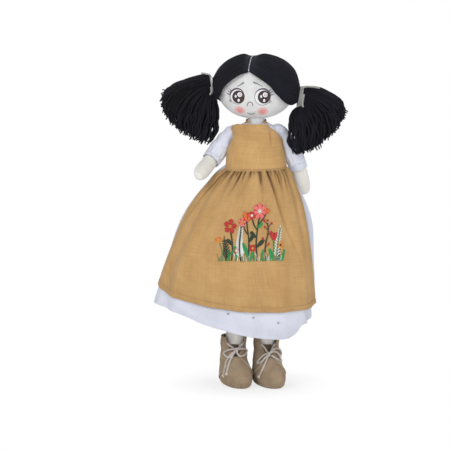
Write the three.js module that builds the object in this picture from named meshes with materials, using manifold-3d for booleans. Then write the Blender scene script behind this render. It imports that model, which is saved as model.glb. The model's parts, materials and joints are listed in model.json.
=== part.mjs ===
// A handmade cloth doll: stuffed cotton head, body and limbs, yarn hair in two
// bunches, a white dress, a tan apron and laced felt boots. Millimetres, +Z up.
// The doll faces -Y, so its left side is +X. The origin lies on the floor
// between the boots.

import * as THREE from 'three';
import { mergeVertices } from 'three/addons/utils/BufferGeometryUtils.js';
import Module from 'manifold-3d';

const wasm = await Module();
wasm.setup();

// Driving dimensions

const clearance = 0.4; // between pieces that touch
const skinThickness = 0.9;
const dressCloth = 1.0;
const apronCloth = 1.2;
const feltThickness = 1.8;

const bodyX = 7; // the upper body stands this far to its left of the boots
const hipHeight = 226;
const hipToWaist = 37;
const waistToShoulder = 38;
const shoulderToNeckBase = 12.5;
const neckLength = 6.5; // from the neck base to the chin
const neckRadius = 11;
const neckDepthInBody = 12;
const neckDepthInHead = 14;

const headHalfWidth = 46;
const headHalfDepth = 30;
const headHeight = 73;
const headRoundness = 2.15; // 2 is an ellipse, more is squarer
const hairThickness = 6;
const hairAtParting = 2.4;
const partingWidth = 1.4;
const tieRadius = 1.1;
const tieHalfHeight = 11; // of the yarn that it holds
const tieHalfDepth = 8.5;
const rightTieReach = 8; // from the head's side out to the tie
const leftTieReach = 11;
const rightTieRise = 5; // above the head's centre
const leftTieDrop = 8; // below it
const bunchNeck = 4.5; // from a tie to where its yarn starts to spread
const bunchDrop = 76; // from a tie down to the ends of its longest yarn

const torsoHalfDepth = 18.5;
const waistHalfWidth = 33;
const chestHalfWidth = 27.5;
const shoulderHalfWidth = 24;
const torsoRoundness = 2.7;

const armRadius = 7.6;
const handRadius = 6.8;
const sleeveRadius = 10.6;
const armholeRadius = 9.6;
const sleeveShare = 0.66; // how much of the arm the sleeve and cuff cover
const cuffLength = 6;

const legRadius = 10.3;
const hipSpacing = 25; // between the two leg centres at the hips
const ankleX = 19.7; // each ankle's distance from the middle
const footLength = 44;

const skirtHalfDepth = 20.5; // at the waist
const skirtFlareWidth = 61;
const skirtFlareDepth = 25;
const widthCurve = 2.3; // 1 would be a straight flare, more flares sooner below the waist
const depthCurve = 1.6;
const skirtDrift = 26; // how far the hem swings to the doll's right
const skirtDrop = 203; // waist to the front of the dress hem
const skirtFolds = 13;
const foldDepth = 3.2;
const sidePuff = 6; // how far the dress puffs out behind the apron's edges
const dressHemRises = { back: 2.7, right: 12.7, sides: 11.9 }; // above the front of the hem
const apronHemRises = { back: 1.6, right: 11, sides: 5.3 };
const apronHemHeight = 31; // the apron hem lies this far above the dress hem in front
const apronHalfAngle = 85; // degrees round from the front to the apron's side edge
const apronGap = 1.2; // between the two skirts

const bandHeight = 10;
const strapThickness = 1.6;
const strapHeight = 2.2;
const strapHalfAngle = 140; // degrees round the neck, from the back to the strap's end

const bootHeight = 58;
const bootHalfWidth = 19.2;
const bootToeReach = 44; // from the ankle's centre line to the toe
const bootHeelReach = 16.5;
const bootShaftRadius = 15.2;
const bootRoundness = 2.2;
const soleThickness = 3;
const seamFoot = 6; // where the slanting seam meets the sole, behind the ankle's centre line
const throatHeight = 36; // where the vamp ends and the laces start
const throatHalfTop = 9;
const tongueThickness = 1.2;
const tongueDrop = 9; // the tongue ends this far below the boot's top
const laceRadius = 1.0;
const knotRise = 5.5; // from the throat up to the lace's knot
const knotLift = 5.3; // between the boot and the cord at the knot
const bowReach = 12.5; // from the knot to the end of each loop
const longEnd = { reach: 13, drop: 21 }; // from the knot across and down to a lace's end
const shortEnd = { reach: 10, drop: 12 };

// Heights that follow from them

const waistHeight = hipHeight + hipToWaist;
const shoulderHeight = waistHeight + waistToShoulder;
const neckBase = shoulderHeight + shoulderToNeckBase;
const chinHeight = neckBase + neckLength;
const headCentre = chinHeight + headHeight / 2;
const dressFrontHem = waistHeight - skirtDrop;

// Colours

function material(color, roughness) {
  return new THREE.MeshStandardMaterial({ color, roughness, metalness: 0 });
}
const skin = material('#e3e2dd', 0.9);
const stuffing = material('#f4f2ec', 1.0);
const yarn = material('#15161b', 0.85);
const cord = material('#c9c6bd', 0.9);
const cotton = material('#dcdee8', 0.9);
const linen = material('#c29c6b', 0.9);
const felt = material('#96846f', 0.95);

// Solids

const radians = (degrees) => (degrees * Math.PI) / 180;
const mix = (a, b, t) => a + (b - a) * t;
const smooth = (t) => {
  const c = Math.min(1, Math.max(0, t));
  return c * c * (3 - 2 * c);
};
const signedPower = (value, power) => Math.sign(value) * Math.abs(value) ** power;

// Turns the triangles round if they face inwards.
function faceOutwards(positions, index) {
  let volume = 0;
  const corner = (k) => new THREE.Vector3().fromArray(positions, index[k] * 3);
  for (let k = 0; k < index.length; k += 3) {
    volume += corner(k).dot(corner(k + 1).cross(corner(k + 2)));
  }
  if (volume < 0) {
    for (let k = 0; k < index.length; k += 3) {
      [index[k], index[k + 1]] = [index[k + 1], index[k]];
    }
  }
}

function geometryFrom(positions, index) {
  faceOutwards(positions, index);
  const geometry = new THREE.BufferGeometry();
  geometry.setAttribute('position', new THREE.Float32BufferAttribute(positions, 3));
  geometry.setIndex(index);
  geometry.computeVertexNormals();
  return geometry;
}

// A closed surface through rings of points, capped at both ends, or joined
// from the last ring to the first where it is a tube with open ends.
function loft(rings, openTube = false) {
  const around = rings[0].length;
  const positions = rings.flat().flatMap((p) => [p.x, p.y, p.z]);
  const index = [];
  const bands = openTube ? rings.length : rings.length - 1;
  for (let band = 0; band < bands; band += 1) {
    const next = (band + 1) % rings.length;
    for (let i = 0; i < around; i += 1) {
      const j = (i + 1) % around;
      const corners = [band * around + i, band * around + j, next * around + j, next * around + i];
      index.push(corners[0], corners[1], corners[2], corners[0], corners[2], corners[3]);
    }
  }
  if (!openTube) {
    for (const [ring, flip] of [[0, true], [rings.length - 1, false]]) {
      const middle = rings[ring].reduce((sum, p) => sum.add(p), new THREE.Vector3());
      middle.divideScalar(around);
      const centre = positions.length / 3;
      positions.push(middle.x, middle.y, middle.z);
      for (let i = 0; i < around; i += 1) {
        const pair = [ring * around + i, ring * around + ((i + 1) % around)];
        index.push(centre, pair[flip ? 1 : 0], pair[flip ? 0 : 1]);
      }
    }
  }
  return geometryFrom(positions, index);
}

// A sheet with a thickness: rows of points on its outer and inner faces.
function sheet(outerRows, innerRows) {
  const rings = outerRows.map((row, k) => [...row, ...[...innerRows[k]].reverse()]);
  const across = outerRows[0].length;
  const around = across * 2;
  const positions = rings.flat().flatMap((p) => [p.x, p.y, p.z]);
  const index = [];
  for (let row = 0; row < rings.length - 1; row += 1) {
    for (let i = 0; i < around; i += 1) {
      const j = (i + 1) % around;
      const corners = [row * around + i, row * around + j, (row + 1) * around + j, (row + 1) * around + i];
      index.push(corners[0], corners[1], corners[2], corners[0], corners[2], corners[3]);
    }
  }
  for (const [row, flip] of [[0, true], [rings.length - 1, false]]) {
    for (let i = 0; i < across - 1; i += 1) {
      const first = row * around + i;
      const mate = row * around + (around - 1 - i);
      const corners = [first, first + 1, mate - 1, mate];
      const order = flip ? [0, 2, 1, 0, 3, 2] : [0, 1, 2, 0, 2, 3];
      index.push(...order.map((k) => corners[k]));
    }
  }
  return geometryFrom(positions, index);
}

function toManifold(geometry) {
  const bare = geometry.clone();
  bare.deleteAttribute('normal');
  bare.deleteAttribute('uv');
  const merged = mergeVertices(bare, 1e-4);
  const corners = merged.index.array;
  const index = [];
  for (let k = 0; k < corners.length; k += 3) {
    const [a, b, c] = corners.slice(k, k + 3);
    if (a !== b && b !== c && c !== a) {
      index.push(a, b, c);
    }
  }
  faceOutwards(merged.attributes.position.array, index);
  const solid = new wasm.Mesh({
    numProp: 3,
    vertProperties: new Float32Array(merged.attributes.position.array),
    triVerts: new Uint32Array(index),
  });
  return new wasm.Manifold(solid);
}

function fromManifold(solid) {
  const result = solid.getMesh();
  const geometry = new THREE.BufferGeometry();
  geometry.setAttribute('position', new THREE.BufferAttribute(result.vertProperties, 3));
  geometry.setIndex(new THREE.BufferAttribute(result.triVerts, 1));
  geometry.computeVertexNormals();
  return geometry;
}

const cut = (whole, ...tools) =>
  fromManifold(tools.reduce((left, tool) => left.subtract(toManifold(tool)), toManifold(whole)));
const keep = (whole, ...tools) =>
  fromManifold(tools.reduce((left, tool) => left.intersect(toManifold(tool)), toManifold(whole)));
const join = (...pieces) =>
  fromManifold(pieces.map(toManifold).reduce((sum, piece) => sum.add(piece)));

// An upright section at one height: front and back may reach differently.
function section({ x, z, halfWidth, front, back = front, roundness = 2, sides = 24 }) {
  const ring = [];
  for (let i = 0; i < sides; i += 1) {
    const angle = (2 * Math.PI * i) / sides;
    const across = signedPower(Math.sin(angle), 2 / roundness);
    const along = signedPower(Math.cos(angle), 2 / roundness);
    ring.push(new THREE.Vector3(x + halfWidth * across, -along * (along > 0 ? front : back), z));
  }
  return ring;
}

// Reads a profile, a list of stations that each start with a height, at one height.
function stationAt(stations, z) {
  const above = stations.findIndex((station) => station[0] >= z);
  if (above === 0) {
    return stations[0].slice(1);
  }
  if (above < 0) {
    return stations[stations.length - 1].slice(1);
  }
  const [low, high] = [stations[above - 1], stations[above]];
  const share = (z - low[0]) / (high[0] - low[0]);
  return low.slice(1).map((value, k) => mix(value, high[k + 1], share));
}

function cylinder(radius, from, to, sides = 24) {
  const middle = from.clone().add(to).multiplyScalar(0.5);
  const direction = to.clone().sub(from);
  const geometry = new THREE.CylinderGeometry(radius, radius, direction.length(), sides);
  const turn = new THREE.Quaternion().setFromUnitVectors(new THREE.Vector3(0, 1, 0), direction.normalize());
  geometry.applyQuaternion(turn);
  geometry.translate(middle.x, middle.y, middle.z);
  return geometry;
}

function block(xFrom, xTo, yFrom, yTo, zFrom, zTo) {
  const geometry = new THREE.BoxGeometry(xTo - xFrom, yTo - yFrom, zTo - zFrom);
  geometry.translate((xFrom + xTo) / 2, (yFrom + yTo) / 2, (zFrom + zTo) / 2);
  return geometry;
}

// An outline drawn in the X-Z plane, carried from one y to another.
function prismAlongY(outline, yFrom, yTo) {
  const shape = new THREE.Shape(outline.map(([x, z]) => new THREE.Vector2(x, z)));
  const geometry = new THREE.ExtrudeGeometry(shape, { depth: yTo - yFrom, bevelEnabled: false });
  geometry.rotateX(Math.PI / 2);
  geometry.translate(0, yTo, 0);
  return geometry;
}

// An outline drawn in the Y-Z plane, carried from one x to another.
function prismAlongX(outline, xFrom, xTo) {
  const shape = new THREE.Shape(outline.map(([y, z]) => new THREE.Vector2(y, z)));
  const geometry = new THREE.ExtrudeGeometry(shape, { depth: xTo - xFrom, bevelEnabled: false });
  geometry.rotateX(Math.PI / 2);
  geometry.rotateZ(Math.PI / 2);
  geometry.translate(xFrom, 0, 0);
  return geometry;
}

// Round cord along a curve.
function cordAlong(points, radius, steps, sides = 8) {
  const outline = new THREE.Shape();
  outline.absarc(0, 0, radius, 0, 2 * Math.PI, false);
  return new THREE.ExtrudeGeometry(outline, {
    extrudePath: new THREE.CatmullRomCurve3(points, false, 'centripetal'),
    steps,
    curveSegments: sides / 2,
    bevelEnabled: false,
  });
}

const point = (x, y, z) => new THREE.Vector3(x, y, z);

// Head, neck and hair

const headSides = 24;
const headLevels = 12;

function headForm(grow, sides, levels, thicknessAt = () => grow) {
  const rings = [];
  for (let level = 1; level < levels; level += 1) {
    const angle = (Math.PI * level) / levels;
    const upright = signedPower(Math.cos(angle), 2 / headRoundness);
    const spread = signedPower(Math.sin(angle), 2 / headRoundness);
    const bare = section({
      x: bodyX,
      z: 0,
      halfWidth: headHalfWidth * spread,
      front: headHalfDepth * spread,
      roundness: headRoundness,
      sides,
    });
    rings.push(
      bare.map((p) => {
        const extra = thicknessAt(p.x - bodyX);
        const scaleX = (headHalfWidth + extra) / headHalfWidth;
        const scaleY = (headHalfDepth + extra) / headHalfDepth;
        const z = headCentre - (headHeight / 2 + extra) * upright;
        return point(bodyX + (p.x - bodyX) * scaleX, p.y * scaleY, z);
      }),
    );
  }
  return loft(rings);
}

const neckBottom = neckBase - neckDepthInBody;
const neckTop = chinHeight + neckDepthInHead;

function neckHole(extra) {
  return cylinder(neckRadius + extra, point(bodyX, 0, neckBottom - extra), point(bodyX, 0, neckTop + extra));
}

function makeNeck() {
  const rings = [];
  const levels = 3;
  for (let level = 0; level <= levels; level += 1) {
    const share = level / levels;
    const waisted = neckRadius - 0.8 * Math.sin(Math.PI * share);
    rings.push(section({
      x: bodyX, z: mix(neckBottom, neckTop, share), halfWidth: waisted, front: waisted, sides: 16,
    }));
  }
  return loft(rings);
}

function makeHeadSkin() {
  return cut(headForm(0, headSides, headLevels), headForm(-skinThickness, headSides, headLevels), neckHole(clearance));
}

function makeHeadStuffing() {
  return cut(headForm(-skinThickness - clearance, 12, 7), neckHole(clearance));
}

// The ties sit at different heights: the doll's left bunch hangs lower.
const ties = {
  right: {
    side: -1,
    x: bodyX - headHalfWidth - rightTieReach,
    z: headCentre + rightTieRise,
    halfHeight: tieHalfHeight,
    halfDepth: tieHalfDepth,
  },
  left: {
    side: 1,
    x: bodyX + headHalfWidth + leftTieReach,
    z: headCentre - leftTieDrop,
    halfHeight: tieHalfHeight - 1,
    halfDepth: tieHalfDepth,
  },
};

const hairlineTop = headCentre + 21;
const hairlineSide = 38;
const napeHeight = chinHeight + 12;

function faceOpening() {
  const arch = [
    [bodyX - headHalfWidth - hairThickness - 2, chinHeight - 10],
    [bodyX - hairlineSide - 6, headCentre - 14],
    [bodyX - hairlineSide - 2, headCentre - 2],
    [bodyX - hairlineSide + 7, headCentre + 9],
    [bodyX - 14, hairlineTop - 3],
    [bodyX, hairlineTop + 2],
    [bodyX + 14, hairlineTop - 3],
    [bodyX + hairlineSide - 7, headCentre + 9],
    [bodyX + hairlineSide + 2, headCentre - 2],
    [bodyX + hairlineSide + 6, headCentre - 14],
    [bodyX + headHalfWidth + hairThickness + 2, chinHeight - 10],
  ];
  return prismAlongY(arch, -headHalfDepth - 20, -4);
}

function hairGather({ side, x, z, halfHeight, halfDepth }) {
  const rings = [];
  const levels = 5;
  const startX = bodyX + side * (headHalfWidth - 10);
  for (let level = 0; level <= levels; level += 1) {
    const share = level / levels;
    const grown = 1 + 0.9 * Math.max(0, 1 - share * 1.2) ** 1.5;
    const ring = [];
    for (let i = 0; i < 14; i += 1) {
      const angle = (2 * Math.PI * i) / 14;
      ring.push(point(
        mix(startX, x, share),
        halfDepth * grown * Math.sin(angle),
        mix(headCentre + 2, z, Math.min(1, share * 1.25)) + halfHeight * grown * Math.cos(angle),
      ));
    }
    rings.push(ring);
  }
  return loft(rings);
}

function makeHair(tie) {
  const thickness = (across) => mix(hairAtParting, hairThickness, smooth(Math.abs(across) / 11));
  const cap = headForm(hairThickness, headSides, headLevels, thickness);
  const reach = headHalfWidth + hairThickness + 40;
  const partingEdge = bodyX + tie.side * (partingWidth / 2 + clearance);
  const half = block(
    Math.min(partingEdge, partingEdge + tie.side * reach),
    Math.max(partingEdge, partingEdge + tie.side * reach),
    -reach, reach, napeHeight, headCentre + reach,
  );
  const hair = keep(join(cut(cap, faceOpening()), hairGather(tie)), half);
  return cut(hair, headForm(clearance, headSides, headLevels));
}

function makeParting() {
  const lower = headForm(clearance, headSides, headLevels);
  const upper = headForm(hairAtParting, headSides, headLevels);
  const slab = block(
    bodyX - partingWidth / 2, bodyX + partingWidth / 2,
    -headHalfDepth - hairThickness, headHalfDepth + hairThickness,
    napeHeight, headCentre + headHeight,
  );
  return cut(keep(upper, slab), lower, faceOpening());
}

// A cord wound twice round the root of a bunch, with one tail in front.
function makeTie({ side, x, z, halfHeight, halfDepth }) {
  const turns = 2;
  const stepsPerTurn = 10;
  const pitch = tieRadius * 2 + clearance + 0.3;
  const gap = clearance + tieRadius + 0.6; // the cord's facets need a little more
  const points = [];
  for (let step = 0; step <= turns * stepsPerTurn; step += 1) {
    const angle = Math.PI + (2 * Math.PI * step) / stepsPerTurn;
    points.push(point(
      x + side * (pitch * (step / stepsPerTurn - turns / 2)),
      -(halfDepth + gap) * Math.sin(angle),
      z - (halfHeight + gap) * Math.cos(angle),
    ));
  }
  const last = points[points.length - 1];
  points.push(point(last.x + side * 6, last.y - 6, last.z + 2));
  points.push(point(last.x + side * 14, last.y - 9, last.z + 2.5));
  return cordAlong(points, tieRadius, 30, 6);
}

// Each bunch is a fan of yarn between an outer and an inner edge. Both start
// inside the tie and run on through these places, [x, z] from the tie in
// shares of the drop.
const bunches = {
  right: {
    outer: [[-0.263, 0.158], [-0.539, 0.013], [-0.71, -0.21], [-0.724, -0.434], [-0.671, -0.618]],
    inner: [[-0.04, -0.25], [0.092, -0.408], [0.105, -0.579], [0.079, -0.789], [-0.053, -1]],
  },
  left: {
    outer: [[0.224, 0.132], [0.447, 0.04], [0.632, -0.118], [0.658, -0.342], [0.5, -0.711]],
    inner: [[-0.013, -0.25], [-0.118, -0.408], [-0.092, -0.579], [-0.026, -0.763], [0.053, -0.921]],
  },
};
const bunchHalfDepths = [0.158, 0.21, 0.237, 0.21, 0.132]; // at the same places

function makeBunch(tie, bunch) {
  const start = tie.x + tie.side * (clearance + 0.2);
  const edge = (way, list) => new THREE.CatmullRomCurve3([
    point(start, 0, tie.z + way * (tie.halfHeight - 0.5)),
    point(start + tie.side * bunchNeck, 0, tie.z + way * (tie.halfHeight + 0.2)),
    ...list.map(([across, up]) => point(start + across * bunchDrop, 0, tie.z + up * bunchDrop)),
  ]);
  const halfDepths = [tie.halfDepth - 0.5, tie.halfDepth, ...bunchHalfDepths.map((share) => share * bunchDrop)];
  const depth = new THREE.CatmullRomCurve3(halfDepths.map((value, k) => point(k, value, 0)));
  const [outer, inner] = [edge(1, bunch.outer), edge(-1, bunch.inner)];
  const levels = 8;
  const rings = [];
  for (let level = 0; level <= levels; level += 1) {
    const share = level / levels;
    const [high, low] = [outer.getPoint(share), inner.getPoint(share)];
    const middle = high.clone().add(low).multiplyScalar(0.5);
    const half = high.clone().sub(low).multiplyScalar(0.5);
    const halfDepth = depth.getPoint(share).y;
    const ring = [];
    for (let i = 0; i < 18; i += 1) {
      const angle = (2 * Math.PI * i) / 18;
      const p = middle.clone().addScaledVector(half, Math.cos(angle));
      p.y += halfDepth * Math.sin(angle);
      ring.push(p);
    }
    rings.push(ring);
  }
  return loft(rings);
}

// Body

// The body ends just above the legs, and is drawn in there so that the doll
// can sit with its thighs a little past level.
const torsoBottom = hipHeight + legRadius + clearance * 2;
const torsoProfile = [
  [torsoBottom, waistHalfWidth * 0.5, torsoHalfDepth * 0.4],
  [torsoBottom + 2.5, waistHalfWidth * 0.72, torsoHalfDepth * 0.7],
  [torsoBottom + 8, waistHalfWidth * 0.9, torsoHalfDepth * 0.95],
  [waistHeight, waistHalfWidth, torsoHalfDepth],
  [waistHeight + waistToShoulder * 0.45, mix(waistHalfWidth, chestHalfWidth, 0.6), torsoHalfDepth],
  [shoulderHeight - 6, chestHalfWidth, torsoHalfDepth - 1],
  [shoulderHeight + 4, shoulderHalfWidth, torsoHalfDepth - 3],
  [neckBase - 3, mix(neckRadius, shoulderHalfWidth, 0.55), mix(neckRadius, torsoHalfDepth, 0.2)],
  [neckBase, neckRadius + 1, neckRadius + 0.5],
];

function torsoRing(z, grow, sides) {
  const [halfWidth, halfDepth] = stationAt(torsoProfile, z);
  return section({
    x: bodyX, z, halfWidth: halfWidth + grow, front: halfDepth + grow, roundness: torsoRoundness, sides,
  });
}

function torsoForm(grow, sides = 16) {
  const rings = torsoProfile.map(([z]) => torsoRing(z, grow, sides));
  const lowest = rings[0];
  const highest = rings[rings.length - 1];
  lowest.forEach((p) => { p.z -= grow; });
  highest.forEach((p) => { p.z += grow; });
  return loft(rings);
}

const makeTorsoSkin = () => cut(torsoForm(0), torsoForm(-skinThickness), neckHole(clearance));
const makeTorsoStuffing = () => cut(torsoForm(-skinThickness - clearance), neckHole(clearance));

// Rings square to a curve, each with its own half width and half depth.
function limbRings(curve, stations, grow, sides) {
  return stations.map(([share, halfWidth, halfDepth]) => {
    const centre = curve.getPoint(share);
    const along = curve.getTangent(share);
    const across = new THREE.Vector3().crossVectors(along, point(0, 1, 0)).normalize();
    const forward = new THREE.Vector3().crossVectors(across, along).normalize();
    const ring = [];
    for (let i = 0; i < sides; i += 1) {
      const angle = (2 * Math.PI * i) / sides;
      const p = centre.clone();
      p.addScaledVector(across, (halfWidth + grow) * Math.sin(angle));
      p.addScaledVector(forward, -(halfDepth + grow) * Math.cos(angle));
      ring.push(p);
    }
    return ring;
  });
}

// Arms. The doll's right arm comes forward, its left arm hangs at its side.

const bodiceGrow = clearance + dressCloth;
const shoulderX = chestHalfWidth + bodiceGrow + 1;

const arms = {
  right: {
    side: -1,
    elbow: [-22, -3, -30],
    fingertip: [-40, -37, -49],
  },
  left: {
    side: 1,
    elbow: [18, 5, -35],
    fingertip: [29, 16, -76],
  },
};

function armCurve({ side, elbow, fingertip }) {
  const shoulder = point(bodyX + side * shoulderX, 0, shoulderHeight);
  return new THREE.CatmullRomCurve3([
    point(shoulder.x - side * 9, 0, shoulder.z + 3),
    shoulder,
    shoulder.clone().add(point(...elbow)),
    shoulder.clone().add(point(...fingertip)),
  ]);
}

const wristShare = 0.7;
const armStations = [
  [0, armRadius, armRadius],
  [0.2, armRadius + 0.6, armRadius + 0.4],
  [0.4, armRadius + 0.4, armRadius],
  [0.55, armRadius - 0.6, armRadius - 0.6],
  [wristShare, handRadius - 1, handRadius - 1.2],
  [0.8, handRadius, handRadius - 0.6],
  [0.9, handRadius + 0.3, handRadius - 0.6],
  [0.96, handRadius - 1.4, handRadius - 2],
  [0.99, handRadius - 4, handRadius - 4.2],
];

// What an arm turning at the shoulder must stay clear of: the body's side
// outline, turned about the shoulder's axis.
function shoulderClearance({ side }, gap, reachInside) {
  const reach = waistToShoulder + 8;
  const bandTop = waistToShoulder - bandHeight - 2;
  const widthBelow = (below) => stationAt(torsoProfile, shoulderHeight - below)[0] + gap;
  const outline = [];
  if (reachInside > 0) {
    outline.push(new THREE.Vector2(0, widthBelow(0)));
    outline.push(new THREE.Vector2(reachInside - clearance, widthBelow(reachInside)));
  }
  for (const below of [reachInside, 16, bandTop]) {
    outline.push(new THREE.Vector2(below, widthBelow(below) + bodiceGrow));
  }
  for (const below of [bandTop + 1, reach]) {
    outline.push(new THREE.Vector2(below, widthBelow(below) + bodiceGrow + apronCloth * 2));
  }
  outline.push(new THREE.Vector2(reach, 0), new THREE.Vector2(0, 0));
  const geometry = new THREE.LatheGeometry(outline, 20);
  geometry.rotateZ(side * -Math.PI / 2);
  geometry.translate(bodyX, 0, shoulderHeight);
  return geometry;
}

function armForm(arm, grow, sides) {
  const rings = limbRings(armCurve(arm), armStations, grow, sides);
  return loft(rings);
}

const makeArmSkin = (arm) => cut(
  armForm(arm, 0, 12),
  armForm(arm, -skinThickness, 12),
  shoulderClearance(arm, clearance, armholeRadius),
);
const makeArmStuffing = (arm) => cut(
  armForm(arm, -skinThickness - clearance, 8),
  shoulderClearance(arm, clearance * 2, armholeRadius),
);

// Sleeves and cuffs

function sleeveShell(arm, stations, outerGrow) {
  const curve = armCurve(arm);
  const outer = limbRings(curve, stations, outerGrow, 14);
  const inner = limbRings(curve, stations, outerGrow - dressCloth, 14);
  return loft([...outer, ...inner.reverse()], true);
}

const armLength = (arm) => armCurve(arm).getLength();

function makeSleeve(arm) {
  const end = sleeveShare - (cuffLength + clearance) / armLength(arm);
  const shares = [0.02, 0.14, 0.28, 0.42, mix(0.42, end, 0.5), end];
  const stations = shares.map((share, k) => {
    const fullness = sleeveRadius + [0.2, 0.6, 0.8, 0.5, 0, -1][k];
    return [share, fullness, fullness];
  });
  return cut(sleeveShell(arm, stations, 0), shoulderClearance(arm, clearance, 0));
}

function makeCuff(arm) {
  const start = sleeveShare - cuffLength / armLength(arm);
  const radius = sleeveRadius - 1;
  return sleeveShell(arm, [[start, radius, radius], [sleeveShare, radius - 0.3, radius - 0.3]], 0);
}

// Dress bodice, open at the neck, the waist and both armholes

function makeBodice() {
  const inner = torsoForm(clearance);
  const outer = torsoForm(bodiceGrow);
  const neckline = cylinder(neckRadius + 1.2, point(bodyX, 0, neckBase - 8), point(bodyX, 0, neckBase + 8));
  const below = block(
    bodyX - waistHalfWidth * 2, bodyX + waistHalfWidth * 2,
    -torsoHalfDepth * 2, torsoHalfDepth * 2, 0, waistHeight + clearance / 2,
  );
  const armholes = cylinder(
    armholeRadius,
    point(bodyX - waistHalfWidth * 2, 0, shoulderHeight),
    point(bodyX + waistHalfWidth * 2, 0, shoulderHeight),
  );
  return cut(outer, inner, neckline, below, armholes);
}

// Skirts. One surface carries both: its width, depth and centre change with
// the distance below the waist, and folds deepen towards the hem.

function puffAt(angle, share) {
  const past = (Math.abs(angle) - radians(apronHalfAngle)) / radians(50);
  if (past <= 0 || past >= 1) {
    return 0;
  }
  return sidePuff * Math.sin(Math.PI * past) ** 2 * Math.sin(Math.PI * Math.min(1, share * 1.1));
}

function foldAt(angle, share) {
  const depth = mix(0.5, foldDepth, smooth(share * 1.4));
  return depth * (0.7 * Math.sin(skirtFolds * angle) + 0.5 * Math.sin(7 * angle + 1) * share);
}

function skirtPoint(angle, z, grow) {
  const share = (waistHeight - z) / skirtDrop;
  const flare = 1 - Math.max(0, 1 - share) ** widthCurve;
  const deepen = 1 - Math.max(0, 1 - share) ** depthCurve;
  const drift = Math.sin((Math.PI / 2) * Math.min(1, share)) ** 1.3;
  const extra = grow + foldAt(angle, share) + puffAt(angle, share);
  const halfWidth = waistHalfWidth + bodiceGrow + skirtFlareWidth * flare + extra;
  const halfDepth = skirtHalfDepth + skirtFlareDepth * deepen + extra;
  const power = 2 / mix(torsoRoundness, 2, smooth(share * 3));
  return point(
    bodyX - skirtDrift * drift + halfWidth * signedPower(Math.sin(angle), power),
    -halfDepth * signedPower(Math.cos(angle), power),
    z,
  );
}

// The hems rise where the cloth flares out more, most of all on the doll's right.
const hemRise = ({ back, right, sides }, angle) =>
  back * (1 - Math.cos(angle)) - right * Math.sin(angle) + sides * (1 - Math.cos(2 * angle));
const dressHem = (angle) => dressFrontHem + hemRise(dressHemRises, angle);
const apronHem = (angle) => dressFrontHem + apronHemHeight + hemRise(apronHemRises, angle);

const skirtTop = waistHeight - clearance / 2;
const skirtColumns = 72;
const skirtRows = 6;

function makeDressSkirt() {
  const ringsFor = (grow) => {
    const rings = [];
    for (let row = 0; row <= skirtRows; row += 1) {
      const ring = [];
      for (let column = 0; column < skirtColumns; column += 1) {
        const angle = (2 * Math.PI * column) / skirtColumns;
        const signed = angle > Math.PI ? angle - 2 * Math.PI : angle;
        ring.push(skirtPoint(signed, mix(skirtTop, dressHem(signed), row / skirtRows), grow));
      }
      rings.push(ring);
    }
    return rings;
  };
  return loft([...ringsFor(0), ...ringsFor(-dressCloth).reverse()], true);
}

function makeApronSkirt() {
  const columns = (2 * apronHalfAngle * skirtColumns) / 360;
  const rowsFor = (grow) => {
    const rows = [];
    for (let row = 0; row <= skirtRows; row += 1) {
      const line = [];
      for (let column = 0; column <= columns; column += 1) {
        const angle = radians(mix(-apronHalfAngle, apronHalfAngle, column / columns));
        line.push(skirtPoint(angle, mix(skirtTop, apronHem(angle), row / skirtRows), grow));
      }
      rows.push(line);
    }
    return rows;
  };
  return sheet(rowsFor(apronGap + apronCloth), rowsFor(apronGap));
}

// Apron bib, lying on the bodice and hanging from a strap behind the neck

const bibInner = bodiceGrow + clearance + 0.5;

function torsoPoint(angle, z, grow) {
  const [halfWidth, halfDepth] = stationAt(torsoProfile, z);
  return point(
    bodyX + (halfWidth + grow) * signedPower(Math.sin(angle), 2 / torsoRoundness),
    -(halfDepth + grow) * signedPower(Math.cos(angle), 2 / torsoRoundness),
    z,
  );
}

const bibBottom = waistHeight + clearance / 2;
const bibTop = neckBase + bodiceGrow;
const bibSpread = [
  [bibBottom, 80],
  [waistHeight + 8, 70],
  [waistHeight + 20, 58],
  [shoulderHeight - 4, 52],
  [neckBase - 4, 50],
  [bibTop, 38],
];

function makeBib() {
  const levels = 7;
  const columns = 12;
  const rowsFor = (grow) => {
    const rows = [];
    for (let level = 0; level <= levels; level += 1) {
      const z = mix(bibBottom, bibTop, level / levels);
      const [spread] = stationAt(bibSpread, z);
      const row = [];
      for (let column = 0; column <= columns; column += 1) {
        const angle = radians(mix(-spread, spread, column / columns));
        row.push(torsoPoint(angle, Math.min(z, bibTop), grow));
      }
      rows.push(row);
    }
    return rows;
  };
  return sheet(rowsFor(bibInner + apronCloth), rowsFor(bibInner));
}

function makeBackBand() {
  const columns = 16;
  const start = bibSpread[0][1] + 4; // degrees, just behind the bib's edge
  const rowsFor = (grow) => [0, 0.5, 1].map((share) => {
    const z = mix(bibBottom, bibBottom + bandHeight, share);
    const row = [];
    for (let column = 0; column <= columns; column += 1) {
      const angle = radians(mix(start, 360 - start, column / columns));
      row.push(torsoPoint(angle, z, grow));
    }
    return row;
  });
  return sheet(rowsFor(bibInner + apronCloth), rowsFor(bibInner));
}

function makeNeckStrap() {
  const radius = neckRadius + clearance;
  const columns = 16;
  const rowsFor = (grow) => [0, 1].map((share) => {
    const row = [];
    for (let column = 0; column <= columns; column += 1) {
      const turn = mix(-strapHalfAngle, strapHalfAngle, column / columns);
      const z = bibTop + clearance + strapHeight * share;
      const spread = radius + grow;
      row.push(point(bodyX + spread * Math.sin(radians(turn)), spread * Math.cos(radians(turn)), z));
    }
    return row;
  });
  return sheet(rowsFor(strapThickness), rowsFor(0));
}

// Legs, each with a foot that fills its boot

const footHalfHeight = legRadius - 3;
const footHeight = soleThickness + clearance + footHalfHeight; // the foot rests on the boot's sole
const legs = {
  right: { side: -1, hipX: bodyX - hipSpacing / 2, ankle: -ankleX },
  left: { side: 1, hipX: bodyX + hipSpacing / 2, ankle: ankleX },
};

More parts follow.
